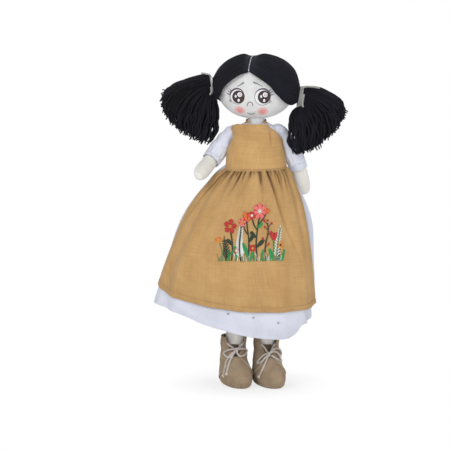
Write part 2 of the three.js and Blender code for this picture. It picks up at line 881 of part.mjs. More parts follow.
function legForm({ hipX, ankle }, grow, sides) {
  const levels = [
    [hipHeight + legRadius * 0.99, 0.14],
    [hipHeight + legRadius * 0.9, 0.43],
    [hipHeight + legRadius * 0.7, 0.71],
    [hipHeight + legRadius * 0.3, 0.95],
    [hipHeight - 4, 1.0],
    [hipHeight - 40, 1.03],
    [hipHeight - 90, 0.97],
    [bootHeight + 30, 0.91],
    [bootHeight, 0.91],
    [footHeight + 18, 0.91],
    [footHeight, 0.8],
    [footHeight - 5, 0.35],
  ];
  const rings = levels.map(([z, share]) => {
    const down = Math.max(0, Math.min(1, (hipHeight - z) / (hipHeight - footHeight)));
    const radius = Math.max(0.5, legRadius * share + grow);
    const height = z > hipHeight ? z + grow * 0.8 : z;
    return section({ x: mix(hipX, ankle, down), z: height, halfWidth: radius, front: radius, sides });
  });
  return loft(rings);
}

function footForm({ ankle }, grow, sides) {
  const back = 10;
  const rings = [0.02, 0.15, 0.4, 0.65, 0.85, 0.96].map((share) => {
    const y = mix(back, back - footLength, share);
    const size = Math.sqrt(Math.max(0, 1 - (2 * share - 1) ** 4));
    const ring = [];
    for (let i = 0; i < sides; i += 1) {
      const angle = (2 * Math.PI * i) / sides;
      const lift = Math.cos(angle);
      ring.push(point(
        ankle + ((legRadius + 2) * size + grow) * Math.sin(angle),
        y - grow * Math.sign(share - 0.5),
        footHeight + (footHalfHeight * size + grow) * lift,
      ));
    }
    return ring;
  });
  return loft(rings);
}

const legWithFoot = (leg, grow, sides) => join(legForm(leg, grow, sides), footForm(leg, grow, sides));

// The turning hole, through which the leg was filled, is at its top.
function makeLegSkin(leg) {
  const turningHole = cylinder(
    legRadius * 0.12,
    point(leg.hipX, 0, hipHeight), point(leg.hipX, 0, hipHeight + legRadius * 2), 12,
  );
  return cut(legWithFoot(leg, 0, 10), legWithFoot(leg, -skinThickness, 10), turningHole);
}
const makeLegStuffing = (leg) => legWithFoot(leg, -skinThickness - clearance, 10);

// Boots. Each upper is one felt surface round the foot, cut into a domed vamp
// and a quarter that meets it along slanting seams and opens in a V over the
// tongue.

const bootProfile = [
  [soleThickness + clearance, bootHalfWidth * 0.9, bootToeReach * 0.92, bootHeelReach * 0.9],
  [8, bootHalfWidth * 0.98, bootToeReach, bootHeelReach],
  [14, bootHalfWidth, bootToeReach, bootHeelReach],
  [21, bootHalfWidth * 0.95, bootToeReach * 0.9, bootHeelReach],
  [27, bootHalfWidth * 0.88, bootToeReach * 0.74, bootHeelReach],
  [32, bootHalfWidth * 0.82, bootToeReach * 0.56, bootHeelReach * 0.97],
  [throatHeight, mix(bootShaftRadius, bootHalfWidth, 0.2), bootShaftRadius * 1.25, bootHeelReach * 0.95],
  [throatHeight + 7, bootShaftRadius, bootShaftRadius * 1.03, bootShaftRadius],
  [bootHeight, bootShaftRadius, bootShaftRadius, bootShaftRadius],
];

function bootForm(ankle, grow, extend) {
  const heights = bootProfile.map(([z]) => z);
  const rings = bootProfile.map(([z, halfWidth, toe, heel]) => section({
    x: ankle, z, halfWidth: halfWidth + grow, front: toe + grow, back: heel + grow,
    roundness: bootRoundness, sides: 20,
  }));
  if (extend) {
    rings[0].forEach((p) => { p.z = heights[0] - extend; });
    rings[rings.length - 1].forEach((p) => { p.z = bootHeight + extend; });
  }
  return loft(rings);
}

function vampRegion(ankle, shift) {
  const throatFront = -bootShaftRadius + 1;
  return prismAlongX(
    [
      [-bootToeReach * 2, -10],
      [seamFoot + shift + 2, -10],
      [throatFront + shift, throatHeight + shift],
      [-bootToeReach * 2, throatHeight + shift],
    ],
    ankle - bootHalfWidth * 2,
    ankle + bootHalfWidth * 2,
  );
}

function throatWedge(ankle, extra, top) {
  return prismAlongY(
    [
      [ankle - 1.6 - extra, throatHeight - 2 - extra],
      [ankle + 1.6 + extra, throatHeight - 2 - extra],
      [ankle + throatHalfTop + extra, top],
      [ankle - throatHalfTop - extra, top],
    ],
    -bootToeReach * 2,
    -2,
  );
}

const bootShell = (ankle) => cut(bootForm(ankle, 0, 0), bootForm(ankle, -feltThickness, 6));
const makeVamp = ({ ankle }) => keep(bootShell(ankle), vampRegion(ankle, 0));
const makeQuarter = ({ ankle }) => cut(
  bootShell(ankle), vampRegion(ankle, clearance), throatWedge(ankle, 0, bootHeight + 2),
);

function makeTongue({ ankle }) {
  const outer = bootForm(ankle, -feltThickness - clearance, 6);
  const inner = bootForm(ankle, -feltThickness - clearance - tongueThickness, 8);
  const region = throatWedge(ankle, 2.5, bootHeight - tongueDrop);
  return keep(cut(outer, inner), region);
}

function makeSole({ ankle }) {
  const rim = ({ z, inset }) => section({
    x: ankle, z,
    halfWidth: bootHalfWidth * 0.92 - inset, front: bootToeReach * 0.95 - inset, back: bootHeelReach - inset,
    roundness: 2.3, sides: 20,
  });
  return loft([
    rim({ z: 0, inset: 0.8 }),
    rim({ z: 0.8, inset: 0 }),
    rim({ z: soleThickness, inset: 0 }),
  ]);
}

// The middle of a lace that lies on the front of a boot, or is lifted off it.
function onBoot(ankle, across, z, lift) {
  const [halfWidth, toe] = stationAt(bootProfile, z);
  const share = Math.min(0.95, Math.abs(across) / halfWidth);
  const forward = toe * (1 - share ** bootRoundness) ** (1 / bootRoundness);
  return point(ankle + across, -forward - laceRadius - lift, z);
}

function ball(centre, radius) {
  const geometry = new THREE.IcosahedronGeometry(radius, 0);
  geometry.translate(centre.x, centre.y, centre.z);
  return geometry;
}

// The lace crosses the throat and is tied in a bow with two loops and two
// knotted ends that hang over the vamp.
function makeLace({ ankle, side }) {
  const knotHeight = throatHeight + knotRise;
  const knot = onBoot(ankle, 0, knotHeight, knotLift);
  const loop = (way) => {
    const from = (x, y, z) => point(knot.x + way * x * bowReach, knot.y + y * bowReach, knot.z + z * bowReach);
    const route = [
      from(0.08, 0, 0.05),
      from(0.56, -0.12, 0.21),
      from(1, 0.04, 0.06),
      from(0.92, -0.24, -0.21),
      from(0.4, -0.32, -0.22),
      from(0.08, 0, -0.05),
    ];
    return cordAlong(route, laceRadius, 8, 6);
  };
  const hangingEnd = (way, { reach, drop }) => {
    const at = (across, down, lift) => onBoot(ankle, way * reach * across, knotHeight - drop * down, lift);
    const tip = at(1, 1, 2.4);
    const route = [knot, at(0.4, 0.3, 4.6), at(0.8, 0.65, 3), tip];
    return join(cordAlong(route, laceRadius, 5, 6), ball(tip, laceRadius * 1.9));
  };
  const half = throatHalfTop;
  const crossing = cordAlong(
    [
      onBoot(ankle, -half * 0.9, knotHeight + 4, 0.6),
      onBoot(ankle, -half * 0.5, knotHeight + 1.6, 2.4),
      onBoot(ankle, 0, knotHeight, knotLift - 1),
      onBoot(ankle, half * 0.5, knotHeight + 1.6, 2.4),
      onBoot(ankle, half * 0.9, knotHeight + 4, 0.6),
    ],
    laceRadius, 6, 6,
  );
  return join(
    ball(knot, laceRadius * 2.4), crossing, loop(1), loop(-1),
    hangingEnd(side, longEnd), hangingEnd(-side, shortEnd),
  );
}

// Assembly

function mesh(name, geometry, surface) {
  const piece = new THREE.Mesh(geometry, surface);
  piece.name = name;
  return piece;
}

const doll = new THREE.Group();

doll.add(
  mesh('torso_skin', makeTorsoSkin(), skin),
  mesh('torso_stuffing', makeTorsoStuffing(), stuffing),
  mesh('neck', makeNeck(), skin),
  mesh('head_skin', makeHeadSkin(), skin),
  mesh('head_stuffing', makeHeadStuffing(), stuffing),
  mesh('hair_parting', makeParting(), cord),
  mesh('dress_bodice', makeBodice(), cotton),
  mesh('dress_skirt', makeDressSkirt(), cotton),
  mesh('apron_bib', makeBib(), linen),
  mesh('apron_back_band', makeBackBand(), linen),
  mesh('apron_skirt', makeApronSkirt(), linen),
  mesh('apron_neck_strap', makeNeckStrap(), linen),
);

for (const name of ['right', 'left']) {
  doll.add(
    mesh(`hair_${name}`, makeHair(ties[name]), yarn),
    mesh(`hair_tie_${name}`, makeTie(ties[name]), cord),
    mesh(`hair_bunch_${name}`, makeBunch(ties[name], bunches[name]), yarn),
    mesh(`arm_${name}_skin`, makeArmSkin(arms[name]), skin),
    mesh(`arm_${name}_stuffing`, makeArmStuffing(arms[name]), stuffing),
    mesh(`sleeve_${name}`, makeSleeve(arms[name]), cotton),
    mesh(`cuff_${name}`, makeCuff(arms[name]), cotton),
    mesh(`leg_${name}_skin`, makeLegSkin(legs[name]), skin),
    mesh(`leg_${name}_stuffing`, makeLegStuffing(legs[name]), stuffing),
    mesh(`boot_${name}_sole`, makeSole(legs[name]), felt),
    mesh(`boot_${name}_vamp`, makeVamp(legs[name]), felt),
    mesh(`boot_${name}_quarter`, makeQuarter(legs[name]), felt),
    mesh(`boot_${name}_tongue`, makeTongue(legs[name]), felt),
    mesh(`boot_${name}_lace`, makeLace(legs[name]), cord),
  );
}

export default doll;
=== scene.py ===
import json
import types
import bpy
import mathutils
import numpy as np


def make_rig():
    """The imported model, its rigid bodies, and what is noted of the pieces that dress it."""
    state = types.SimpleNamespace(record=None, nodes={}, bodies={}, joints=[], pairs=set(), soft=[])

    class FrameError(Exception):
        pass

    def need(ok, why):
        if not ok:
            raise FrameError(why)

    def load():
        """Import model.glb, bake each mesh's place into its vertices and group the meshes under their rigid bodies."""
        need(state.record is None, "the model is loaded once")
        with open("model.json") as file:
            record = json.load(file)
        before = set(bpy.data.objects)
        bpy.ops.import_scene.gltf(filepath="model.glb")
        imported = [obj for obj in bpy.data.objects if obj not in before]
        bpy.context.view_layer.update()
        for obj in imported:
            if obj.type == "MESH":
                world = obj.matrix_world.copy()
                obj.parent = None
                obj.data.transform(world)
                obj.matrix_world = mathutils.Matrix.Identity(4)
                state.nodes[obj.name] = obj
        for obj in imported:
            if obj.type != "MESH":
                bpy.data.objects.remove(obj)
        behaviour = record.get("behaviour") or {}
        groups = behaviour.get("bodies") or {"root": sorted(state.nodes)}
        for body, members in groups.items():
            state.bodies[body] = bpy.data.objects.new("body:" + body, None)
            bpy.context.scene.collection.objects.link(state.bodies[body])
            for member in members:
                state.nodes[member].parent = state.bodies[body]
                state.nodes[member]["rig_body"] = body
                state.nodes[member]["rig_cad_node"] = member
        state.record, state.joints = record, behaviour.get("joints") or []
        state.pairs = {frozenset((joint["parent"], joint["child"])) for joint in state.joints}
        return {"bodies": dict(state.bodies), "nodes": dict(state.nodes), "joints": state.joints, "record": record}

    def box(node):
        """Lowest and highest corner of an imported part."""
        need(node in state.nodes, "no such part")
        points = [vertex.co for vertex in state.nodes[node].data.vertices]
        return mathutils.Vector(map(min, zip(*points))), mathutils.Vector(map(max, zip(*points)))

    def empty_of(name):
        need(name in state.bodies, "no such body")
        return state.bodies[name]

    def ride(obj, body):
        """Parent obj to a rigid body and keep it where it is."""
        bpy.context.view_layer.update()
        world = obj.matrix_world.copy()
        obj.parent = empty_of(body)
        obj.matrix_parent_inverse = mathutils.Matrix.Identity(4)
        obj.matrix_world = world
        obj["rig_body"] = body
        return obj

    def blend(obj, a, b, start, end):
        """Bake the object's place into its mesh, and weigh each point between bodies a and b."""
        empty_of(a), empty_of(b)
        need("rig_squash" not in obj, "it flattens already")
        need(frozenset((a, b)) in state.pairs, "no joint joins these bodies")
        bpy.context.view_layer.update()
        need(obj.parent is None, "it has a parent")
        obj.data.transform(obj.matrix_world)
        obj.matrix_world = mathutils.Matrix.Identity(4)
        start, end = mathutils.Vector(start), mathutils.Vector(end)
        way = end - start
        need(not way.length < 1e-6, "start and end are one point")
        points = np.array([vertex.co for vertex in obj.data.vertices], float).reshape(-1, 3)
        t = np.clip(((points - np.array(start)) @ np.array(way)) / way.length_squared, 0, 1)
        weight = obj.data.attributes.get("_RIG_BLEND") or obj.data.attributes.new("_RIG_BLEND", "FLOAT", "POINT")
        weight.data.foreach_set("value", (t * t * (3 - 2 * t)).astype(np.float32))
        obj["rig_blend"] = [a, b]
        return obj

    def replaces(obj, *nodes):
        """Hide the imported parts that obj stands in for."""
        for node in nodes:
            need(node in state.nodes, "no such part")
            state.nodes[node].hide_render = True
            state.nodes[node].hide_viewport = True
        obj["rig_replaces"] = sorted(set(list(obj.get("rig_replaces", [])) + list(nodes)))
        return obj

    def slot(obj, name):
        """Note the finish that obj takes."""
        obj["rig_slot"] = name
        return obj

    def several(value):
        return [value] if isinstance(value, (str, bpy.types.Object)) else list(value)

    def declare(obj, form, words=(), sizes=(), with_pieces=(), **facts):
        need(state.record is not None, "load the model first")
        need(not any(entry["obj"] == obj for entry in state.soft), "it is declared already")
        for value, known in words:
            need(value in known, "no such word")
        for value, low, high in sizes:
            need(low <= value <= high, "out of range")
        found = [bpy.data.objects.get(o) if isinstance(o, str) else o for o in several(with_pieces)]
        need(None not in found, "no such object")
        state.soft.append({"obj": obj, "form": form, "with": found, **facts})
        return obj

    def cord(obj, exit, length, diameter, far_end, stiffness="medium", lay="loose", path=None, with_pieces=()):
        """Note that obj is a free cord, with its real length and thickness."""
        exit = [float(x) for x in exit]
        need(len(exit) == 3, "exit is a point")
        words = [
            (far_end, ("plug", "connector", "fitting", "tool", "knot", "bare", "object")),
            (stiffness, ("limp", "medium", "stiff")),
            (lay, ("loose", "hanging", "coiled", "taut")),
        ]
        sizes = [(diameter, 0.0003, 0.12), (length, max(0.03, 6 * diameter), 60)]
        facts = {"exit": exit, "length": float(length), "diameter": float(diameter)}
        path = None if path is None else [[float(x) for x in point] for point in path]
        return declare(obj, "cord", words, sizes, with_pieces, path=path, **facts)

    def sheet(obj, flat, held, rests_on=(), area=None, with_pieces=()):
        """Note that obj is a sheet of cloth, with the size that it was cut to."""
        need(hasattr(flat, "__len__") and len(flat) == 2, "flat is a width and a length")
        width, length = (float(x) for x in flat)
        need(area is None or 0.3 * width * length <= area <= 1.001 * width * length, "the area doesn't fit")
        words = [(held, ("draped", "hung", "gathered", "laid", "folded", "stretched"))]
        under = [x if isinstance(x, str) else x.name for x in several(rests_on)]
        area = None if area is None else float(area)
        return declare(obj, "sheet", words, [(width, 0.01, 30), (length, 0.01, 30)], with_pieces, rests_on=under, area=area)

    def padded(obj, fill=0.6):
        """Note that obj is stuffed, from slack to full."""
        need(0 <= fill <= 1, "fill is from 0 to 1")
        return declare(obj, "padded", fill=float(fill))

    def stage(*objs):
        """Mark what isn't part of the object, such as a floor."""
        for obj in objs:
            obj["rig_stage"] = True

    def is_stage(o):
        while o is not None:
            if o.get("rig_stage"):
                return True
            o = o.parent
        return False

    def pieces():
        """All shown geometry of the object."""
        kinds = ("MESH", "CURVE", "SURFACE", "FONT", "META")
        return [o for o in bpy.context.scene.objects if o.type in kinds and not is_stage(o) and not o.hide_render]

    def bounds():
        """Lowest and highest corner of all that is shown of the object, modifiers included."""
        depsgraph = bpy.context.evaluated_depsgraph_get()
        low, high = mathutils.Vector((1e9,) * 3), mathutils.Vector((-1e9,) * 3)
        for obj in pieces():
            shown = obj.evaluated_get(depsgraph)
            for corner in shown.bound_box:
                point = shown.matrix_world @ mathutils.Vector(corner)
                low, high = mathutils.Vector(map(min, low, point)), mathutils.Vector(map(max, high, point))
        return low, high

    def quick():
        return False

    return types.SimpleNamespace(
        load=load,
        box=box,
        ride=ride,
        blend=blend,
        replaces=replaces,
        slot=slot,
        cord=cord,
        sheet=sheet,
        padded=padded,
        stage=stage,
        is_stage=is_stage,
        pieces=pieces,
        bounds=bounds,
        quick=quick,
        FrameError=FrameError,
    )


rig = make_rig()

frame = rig.load()

# A handmade cloth doll: stuffed cotton head, body and limbs, dark yarn hair in
# two bunches, a white cotton dress, a tan linen apron with embroidered meadow
# flowers, and laced felt boots. Sizes are in millimetres; MM turns them into
# metres as they go into a mesh. The doll faces -Y and its left is +X.

import json
import math
import random

import bpy
from mathutils import Vector
from mathutils.bvhtree import BVHTree

MM = 0.001
cad_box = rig.bounds()

# How thick the cloths, felts and painted parts are
DRESS_THICK = 0.8
SLEEVE_THICK = 0.9
CUFF_THICK = 1.0
LINEN_THICK = 1.1
STRAP_THICK = 1.3
FELT_THICK = 1.7
TONGUE_THICK = 1.1
YARN_BASE_THICK = 1.4        # the layer below the single yarns
PAINT_THICK = 0.3
PAINT_LINE_THICK = 0.25


# Numbers and curves

def mix(a, b, t):
    return a + (b - a) * t


def smooth(t):
    t = min(1.0, max(0.0, t))
    return t * t * (3 - 2 * t)


def signed_power(value, power):
    return math.copysign(abs(value) ** power, value)


def bell(distance, width):
    return math.exp(-((distance / width) ** 2))


def station(table, key):
    """The values that a table of [key, value, ...] has at key, blended between its rows."""
    if key <= table[0][0]:
        return table[0][1:]
    for low, high in zip(table, table[1:]):
        if key <= high[0]:
            share = (key - low[0]) / (high[0] - low[0])
            return [mix(a, b, share) for a, b in zip(low[1:], high[1:])]
    return table[-1][1:]


def curve_point(points, share):
    """A point of the smooth curve through the given points."""
    place = min(0.99999, max(0.0, share)) * (len(points) - 1)
    k = int(place)
    t = place - k
    b, c = points[k], points[k + 1]
    a = points[k - 1] if k > 0 else b * 2 - c
    d = points[k + 2] if k + 2 < len(points) else c * 2 - b
    return (b * 2 + (c - a) * t + (a * 2 - b * 5 + c * 4 - d) * t * t
            + (b * 3 - a - c * 3 + d) * t * t * t) * 0.5


def curve_points(points, count):
    points = [Vector(p) for p in points]
    return [curve_point(points, k / (count - 1)) for k in range(count)]


def path_length(points):
    return sum((b - a).length for a, b in zip(points, points[1:]))


# Modelling

def deselect():
    if bpy.context.object and bpy.context.object.mode != "OBJECT":
        bpy.ops.object.mode_set(mode="OBJECT")
    bpy.ops.object.select_all(action="DESELECT")


def pick(piece):
    deselect()
    piece.select_set(True)
    bpy.context.view_layer.objects.active = piece


def edit(piece, *steps):
    """Runs edit-mode steps on the whole of a piece."""
    pick(piece)
    bpy.ops.object.mode_set(mode="EDIT")
    bpy.ops.mesh.select_all(action="SELECT")
    for step in steps:
        step()
    bpy.ops.object.mode_set(mode="OBJECT")


def merge_doubles():
    bpy.ops.mesh.remove_doubles(threshold=0.00001)


def face_outwards():
    bpy.ops.mesh.normals_make_consistent(inside=False)


def apply_modifier(piece, kind, **settings):
    pick(piece)
    modifier = piece.modifiers.new(kind, kind)
    for key, value in settings.items():
        setattr(modifier, key, value)
    bpy.ops.object.modifier_apply(modifier=modifier.name)


def thicken(piece, thickness):
    """Gives a sheet its thickness, towards its inner side."""
    apply_modifier(piece, "SOLIDIFY", thickness=thickness * MM, offset=-1)
    bpy.ops.object.shade_smooth()


def cloth_grid(name, columns, rows, place, cloth, wrap=False):
    """A grid shaped by place(u, v), with a UV map in metres of flat cloth.

    cloth is its flat size in millimetres, and wrap joins its first and last columns."""
    deselect()
    bpy.ops.mesh.primitive_grid_add(x_subdivisions=columns, y_subdivisions=rows, size=2)
    piece = bpy.context.object
    piece.name = piece.data.name = name
    mesh = piece.data
    shares = [((v.co.x + 1) / 2, (v.co.y + 1) / 2) for v in mesh.vertices]
    uv = mesh.uv_layers[0].data
    for loop in mesh.loops:
        u, v = shares[loop.vertex_index]
        uv[loop.index].uv = (u * cloth[0] * MM, v * cloth[1] * MM)
    for vertex, (u, v) in zip(mesh.vertices, shares):
        vertex.co = Vector(place(u, v)) * MM
    if wrap:
        edit(piece, merge_doubles)
    pick(piece)
    bpy.ops.object.shade_smooth()
    return piece


def closed_form(name, columns, rows, place, cloth):
    """A grid wrapped into a closed form: each end row meets in one point."""
    piece = cloth_grid(name, columns, rows, place, cloth, wrap=True)
    edit(piece, face_outwards)
    return piece


def strands(name, paths, radius, sides=6, taper=None):
    """Round strands along the paths, as one piece; its UV map runs round and along in metres."""
    deselect()
    curve = bpy.data.curves.new(name, "CURVE")
    curve.dimensions = "3D"
    for path in paths:
        spline = curve.splines.new("POLY")
        spline.points.add(len(path) - 1)
        for k, (point, place) in enumerate(zip(spline.points, path)):
            point.co = (*(place * MM), 1)
            point.radius = taper(k / (len(path) - 1)) if taper else 1
    curve.bevel_depth = radius * MM
    curve.bevel_resolution = (sides - 4) // 2
    curve.use_fill_caps = True
    piece = bpy.data.objects.new(name, curve)
    bpy.context.collection.objects.link(piece)
    pick(piece)
    bpy.ops.object.convert(target="MESH")
    piece = bpy.context.object
    piece.name = piece.data.name = name
    around = 2 * math.pi * radius * MM
    long = MM * sum(path_length(path) for path in paths) / len(paths)
    for corner in piece.data.uv_layers[0].data:
        corner.uv = (corner.uv[0] * around, corner.uv[1] * long)
    edit(piece, merge_doubles, face_outwards)
    bpy.ops.object.shade_smooth()
    return piece


def surface_of(piece):
    """For looking up where a line meets a finished piece."""
    return BVHTree.FromObject(piece, bpy.context.evaluated_depsgraph_get())


def in_front(tree, x, z, lift, missed_y):
    """The point of a surface that is seen at (x, z) from the front, lifted off it.

    Past the surface's edge the point lies at missed_y."""
    from_y = -300
    hit, normal, _, _ = tree.ray_cast(Vector((x * MM, from_y * MM, z * MM)), Vector((0, 1, 0)))
    if hit is None:
        return Vector((x, missed_y, z))
    return hit / MM + normal * lift


FILLING_PRESSURE = 4
FILLING_STEPS = 20


def plump(piece, voxel, cap):
    """Fills a sewn skin: its mesh is made even, with faces of the size voxel, and blown up as cloth.

    No point moves further than cap."""
    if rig.quick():
        return piece
    apply_modifier(piece, "REMESH", mode="VOXEL", voxel_size=voxel * MM)
    rest = [v.co.copy() for v in piece.data.vertices]
    pick(piece)
    cloth = piece.modifiers.new("Cloth", "CLOTH")
    cloth.settings.use_pressure = True
    cloth.settings.uniform_pressure_force = FILLING_PRESSURE
    cloth.settings.effector_weights.gravity = 0
    cloth.point_cache.frame_start = 1
    cloth.point_cache.frame_end = FILLING_STEPS
    for step in range(1, FILLING_STEPS + 1):
        bpy.context.scene.frame_set(step)
    bpy.ops.object.modifier_apply(modifier=cloth.name)
    bpy.context.scene.frame_set(1)
    for vertex, place in zip(piece.data.vertices, rest):
        moved = vertex.co - place
        if moved.length > cap * MM:
            vertex.co = place + moved.normalized() * cap * MM
    apply_modifier(piece, "SUBSURF", levels=1, render_levels=1)
    bpy.ops.object.shade_smooth()
    return piece


FILLING_INSIDE = (1.3, 1.7)  # how far below the skin's outside the filling lies


def stuffing_in(name, skin):
    """The filling inside a sewn skin: its own shape, drawn in and a little lumpy."""
    deselect()
    piece = skin.copy()
    piece.data = skin.data.copy()
    piece.name = piece.data.name = name
    bpy.context.collection.objects.link(piece)
    luck = random.Random(name)
    normals = [v.normal.copy() for v in piece.data.vertices]
    for vertex, normal in zip(piece.data.vertices, normals):
        vertex.co -= normal * luck.uniform(*FILLING_INSIDE) * MM
    return piece


# Materials

def colour(red, green, blue):
    """A colour given as it is seen on a screen, turned into the shader's linear light."""
    def linear(c):
        c /= 255
        return c / 12.92 if c <= 0.04045 else ((c + 0.055) / 1.055) ** 2.4
    return (linear(red), linear(green), linear(blue), 1)


def put(look, target, value):
    if isinstance(value, bpy.types.NodeSocket):
        look.node_tree.links.new(value, target)
    else:
        target.default_value = value


def node(look, kind, inputs=None, **settings):
    made = look.node_tree.nodes.new("ShaderNode" + kind)
    for key, value in settings.items():
        setattr(made, key, value)
    for key, value in (inputs or {}).items():
        put(look, made.inputs[key], value)
    return made


def maths(look, operation, *values):
    return node(look, "Math", dict(enumerate(values)), operation=operation).outputs[0]


def added(look, first, second):
    return maths(look, "ADD", first, second)


def scaled(look, value, share):
    return maths(look, "MULTIPLY", value, share)


def wave(look, value, turns):
    return maths(look, "SINE", scaled(look, value, turns))


def weighed(look, first, first_share, second, second_share):
    """The sum of two patterns, each by its share."""
    return added(look, scaled(look, first, first_share), scaled(look, second, second_share))


def split(look, where):
    """The X, Y and Z of a place."""
    return node(look, "SeparateXYZ", {0: where}).outputs


def blended(look, share, first, second):
    """first where share is 0, second where it is 1."""
    mixer = node(look, "Mix", data_type="RGBA")
    put(look, mixer.inputs["Factor"], share)
    put(look, mixer.inputs["A"], first)
    put(look, mixer.inputs["B"], second)
    return mixer.outputs["Result"]


def start_look(name, roughness, sheen=0.0, specular=0.25):
    look = bpy.data.materials.new(name)
    look.use_nodes = True
    shader = look.node_tree.nodes["Principled BSDF"]
    shader.inputs["Roughness"].default_value = roughness
    shader.inputs["Specular IOR Level"].default_value = specular
    shader.inputs["Sheen Weight"].default_value = sheen
    shader.inputs["Sheen Roughness"].default_value = 0.6
    return look, shader


def coordinates(look, kind):
    return node(look, "TexCoord").outputs[kind]


def noise(look, where, scale, detail=3.0, roughness=0.55, stretch=(1, 1, 1)):
    moved = node(look, "Mapping", {"Vector": where, "Scale": stretch})
    texture = node(look, "TexNoise", {
        "Vector": moved.outputs[0], "Scale": scale, "Detail": detail, "Roughness": roughness,
    })
    return texture.outputs[0]


def ramp(look, value, low, high):
    """value, stretched so that low becomes 0 and high becomes 1."""
    made = node(look, "MapRange", {"Value": value, "From Min": low, "From Max": high}, clamp=True)
    return made.outputs[0]


def bump(look, shader, height, distance):
    made = node(look, "Bump", {"Height": height, "Distance": distance * MM, "Strength": 1.0})
    put(look, shader.inputs["Normal"], made.outputs[0])


def weave_height(look, where, pitch):
    """Threads over and under each other on a UV map in metres: a small pillow at each crossing."""
    turns = math.pi / (pitch * MM)
    across, along = (wave(look, part, turns) for part in split(look, where)[:2])
    return maths(look, "ABSOLUTE", scaled(look, across, along))


def weave_all_round(look, where, pitch):
    """The same for a closed piece with no map: crossings along all three axes."""
    turns = math.pi / (pitch * MM)
    x, y, z = (wave(look, part, turns) for part in split(look, where))
    pairs = [scaled(look, a, b) for a, b in ((x, z), (y, z), (x, y))]
    return maths(look, "ABSOLUTE", added(look, added(look, pairs[0], pairs[1]), pairs[2]))


def woven(name, light, dark, pitch, slub, depth, gathered=None):
    """Woven cloth on its UV map: single threads a shade lighter or darker, slubs, and the weave in relief.

    pitch is the width of a thread, slub the share of the colour's change that runs along the threads,
    and gathered the darker colour painted in as shade deep inside the gathers, where a piece has a gather_shade
    attribute."""
    look, shader = start_look(name, 0.9, 0.15)
    where = coordinates(look, "UV")
    fine, coarse = 1 / (pitch * MM), 30
    upright = noise(look, where, 1.0, 2.0, stretch=(fine, coarse, 1))
    level = noise(look, where, 1.0, 2.0, stretch=(coarse, fine, 1))
    patches = noise(look, where, 35.0, 3.0)
    threads = scaled(look, added(look, upright, level), 0.5)
    uneven = weighed(look, threads, slub, patches, 1 - slub)
    tint = blended(look, ramp(look, uneven, 0.38, 0.62), dark, light)
    # Painted shade: deep in the gathers the cloth's colour is pulled towards the darker gathered colour
    if gathered:
        inside = node(look, "Attribute", attribute_name="gather_shade").outputs["Fac"]
        tint = blended(look, scaled(look, inside, 0.8), tint, gathered)
    put(look, shader.inputs["Base Color"], tint)
    bump(look, shader, added(look, weave_height(look, where, pitch), scaled(look, threads, 0.8)), depth)
    return look


def skin_cloth(name, blushes=(), light=(229, 229, 231), dark=(217, 217, 216)):
    """Off-white doll cotton; blushes are soft rounds of coral, each (place, radius) in millimetres."""
    look, shader = start_look(name, 0.88, 0.12)
    where = coordinates(look, "Object")
    mottled = ramp(look, noise(look, where, 90.0, 4.0), 0.3, 0.7)
    tint = blended(look, mottled, colour(*dark), colour(*light))
    coral, strength, ragged_by = colour(233, 136, 128), 0.85, 2.2
    for place, radius in blushes:
        distance = node(look, "VectorMath", {0: where, 1: tuple(c * MM for c in place)}, operation="DISTANCE")
        away = distance.outputs["Value"]
        ragged = added(look, away, scaled(look, noise(look, where, 420.0, 2.0), ragged_by * MM))
        soft = ramp(look, ragged, (radius + 2.8) * MM, (radius - 2.2) * MM)
        tint = blended(look, scaled(look, soft, strength), tint, coral)
    put(look, shader.inputs["Base Color"], tint)
    bump(look, shader, weave_all_round(look, where, 0.7), 0.16)
    return look


def yarn_look(name, light, dark, twist, depth, sheen=0.3):
    """Plied yarn: slanting plies along each strand on its UV map, and loose fibres.

    twist is the length of one turn of the plies."""
    look, shader = start_look(name, 0.82, sheen, 0.2)
    around, along, _ = split(look, coordinates(look, "UV"))
    slant = added(look, along, scaled(look, around, 0.9))
    plies = added(look, scaled(look, wave(look, slant, 2 * math.pi / (twist * MM)), 0.5), 0.5)
    fibres = noise(look, coordinates(look, "Object"), 900.0, 3.0)
    shade = weighed(look, plies, 0.55, fibres, 0.6)
    # The colour is darker where the plies dip: painted shade in the grooves between them, with the fibres' own uneven
    # tone
    put(look, shader.inputs["Base Color"], blended(look, ramp(look, shade, 0.15, 0.95), dark, light))
    bump(look, shader, added(look, plies, scaled(look, fibres, 0.6)), depth)
    return look


def felt_look(name, light, dark):
    """Pressed wool: cloudy patches, and short fibres that lie mostly level."""
    look, shader = start_look(name, 0.96, 0.05, 0.1)
    where = coordinates(look, "Object")
    clouds = noise(look, where, 70.0, 4.0)
    fibres = noise(look, where, 1500.0, 3.0, 0.7, (1, 1, 0.45))
    shade = weighed(look, clouds, 0.6, fibres, 0.4)
    put(look, shader.inputs["Base Color"], blended(look, ramp(look, shade, 0.36, 0.64), dark, light))
    bump(look, shader, added(look, fibres, scaled(look, clouds, 0.5)), 0.35)
    return look


def thread_look(name, tone):
    """Embroidery floss or face paint: nearly plain, with fine fibres."""
    look, shader = start_look(name, 0.62, 0.15, 0.35)
    fibres = ramp(look, noise(look, coordinates(look, "Object"), 1400.0, 2.0), 0.25, 0.75)
    darker = tuple(c * 0.72 for c in tone[:3]) + (1,)
    put(look, shader.inputs["Base Color"], blended(look, fibres, darker, tone))
    bump(look, shader, fibres, 0.08)
    return look


def iris_look():
    """A painted iris on its map: dark rim, warm brown, and a nearly black pupil."""
    look, shader = start_look("painted iris", 0.55, 0.0, 0.4)
    reach = split(look, coordinates(look, "UV"))[1]
    brown = blended(look, ramp(look, noise(look, coordinates(look, "Object"), 700.0), 0.3, 0.7),
                    colour(48, 30, 32), colour(84, 54, 54))
    pupil = blended(look, ramp(look, reach, 0.36, 0.5), colour(22, 14, 17), brown)
    rim = blended(look, ramp(look, reach, 0.74, 0.88), pupil, colour(34, 24, 28))
    put(look, shader.inputs["Base Color"], rim)
    return look


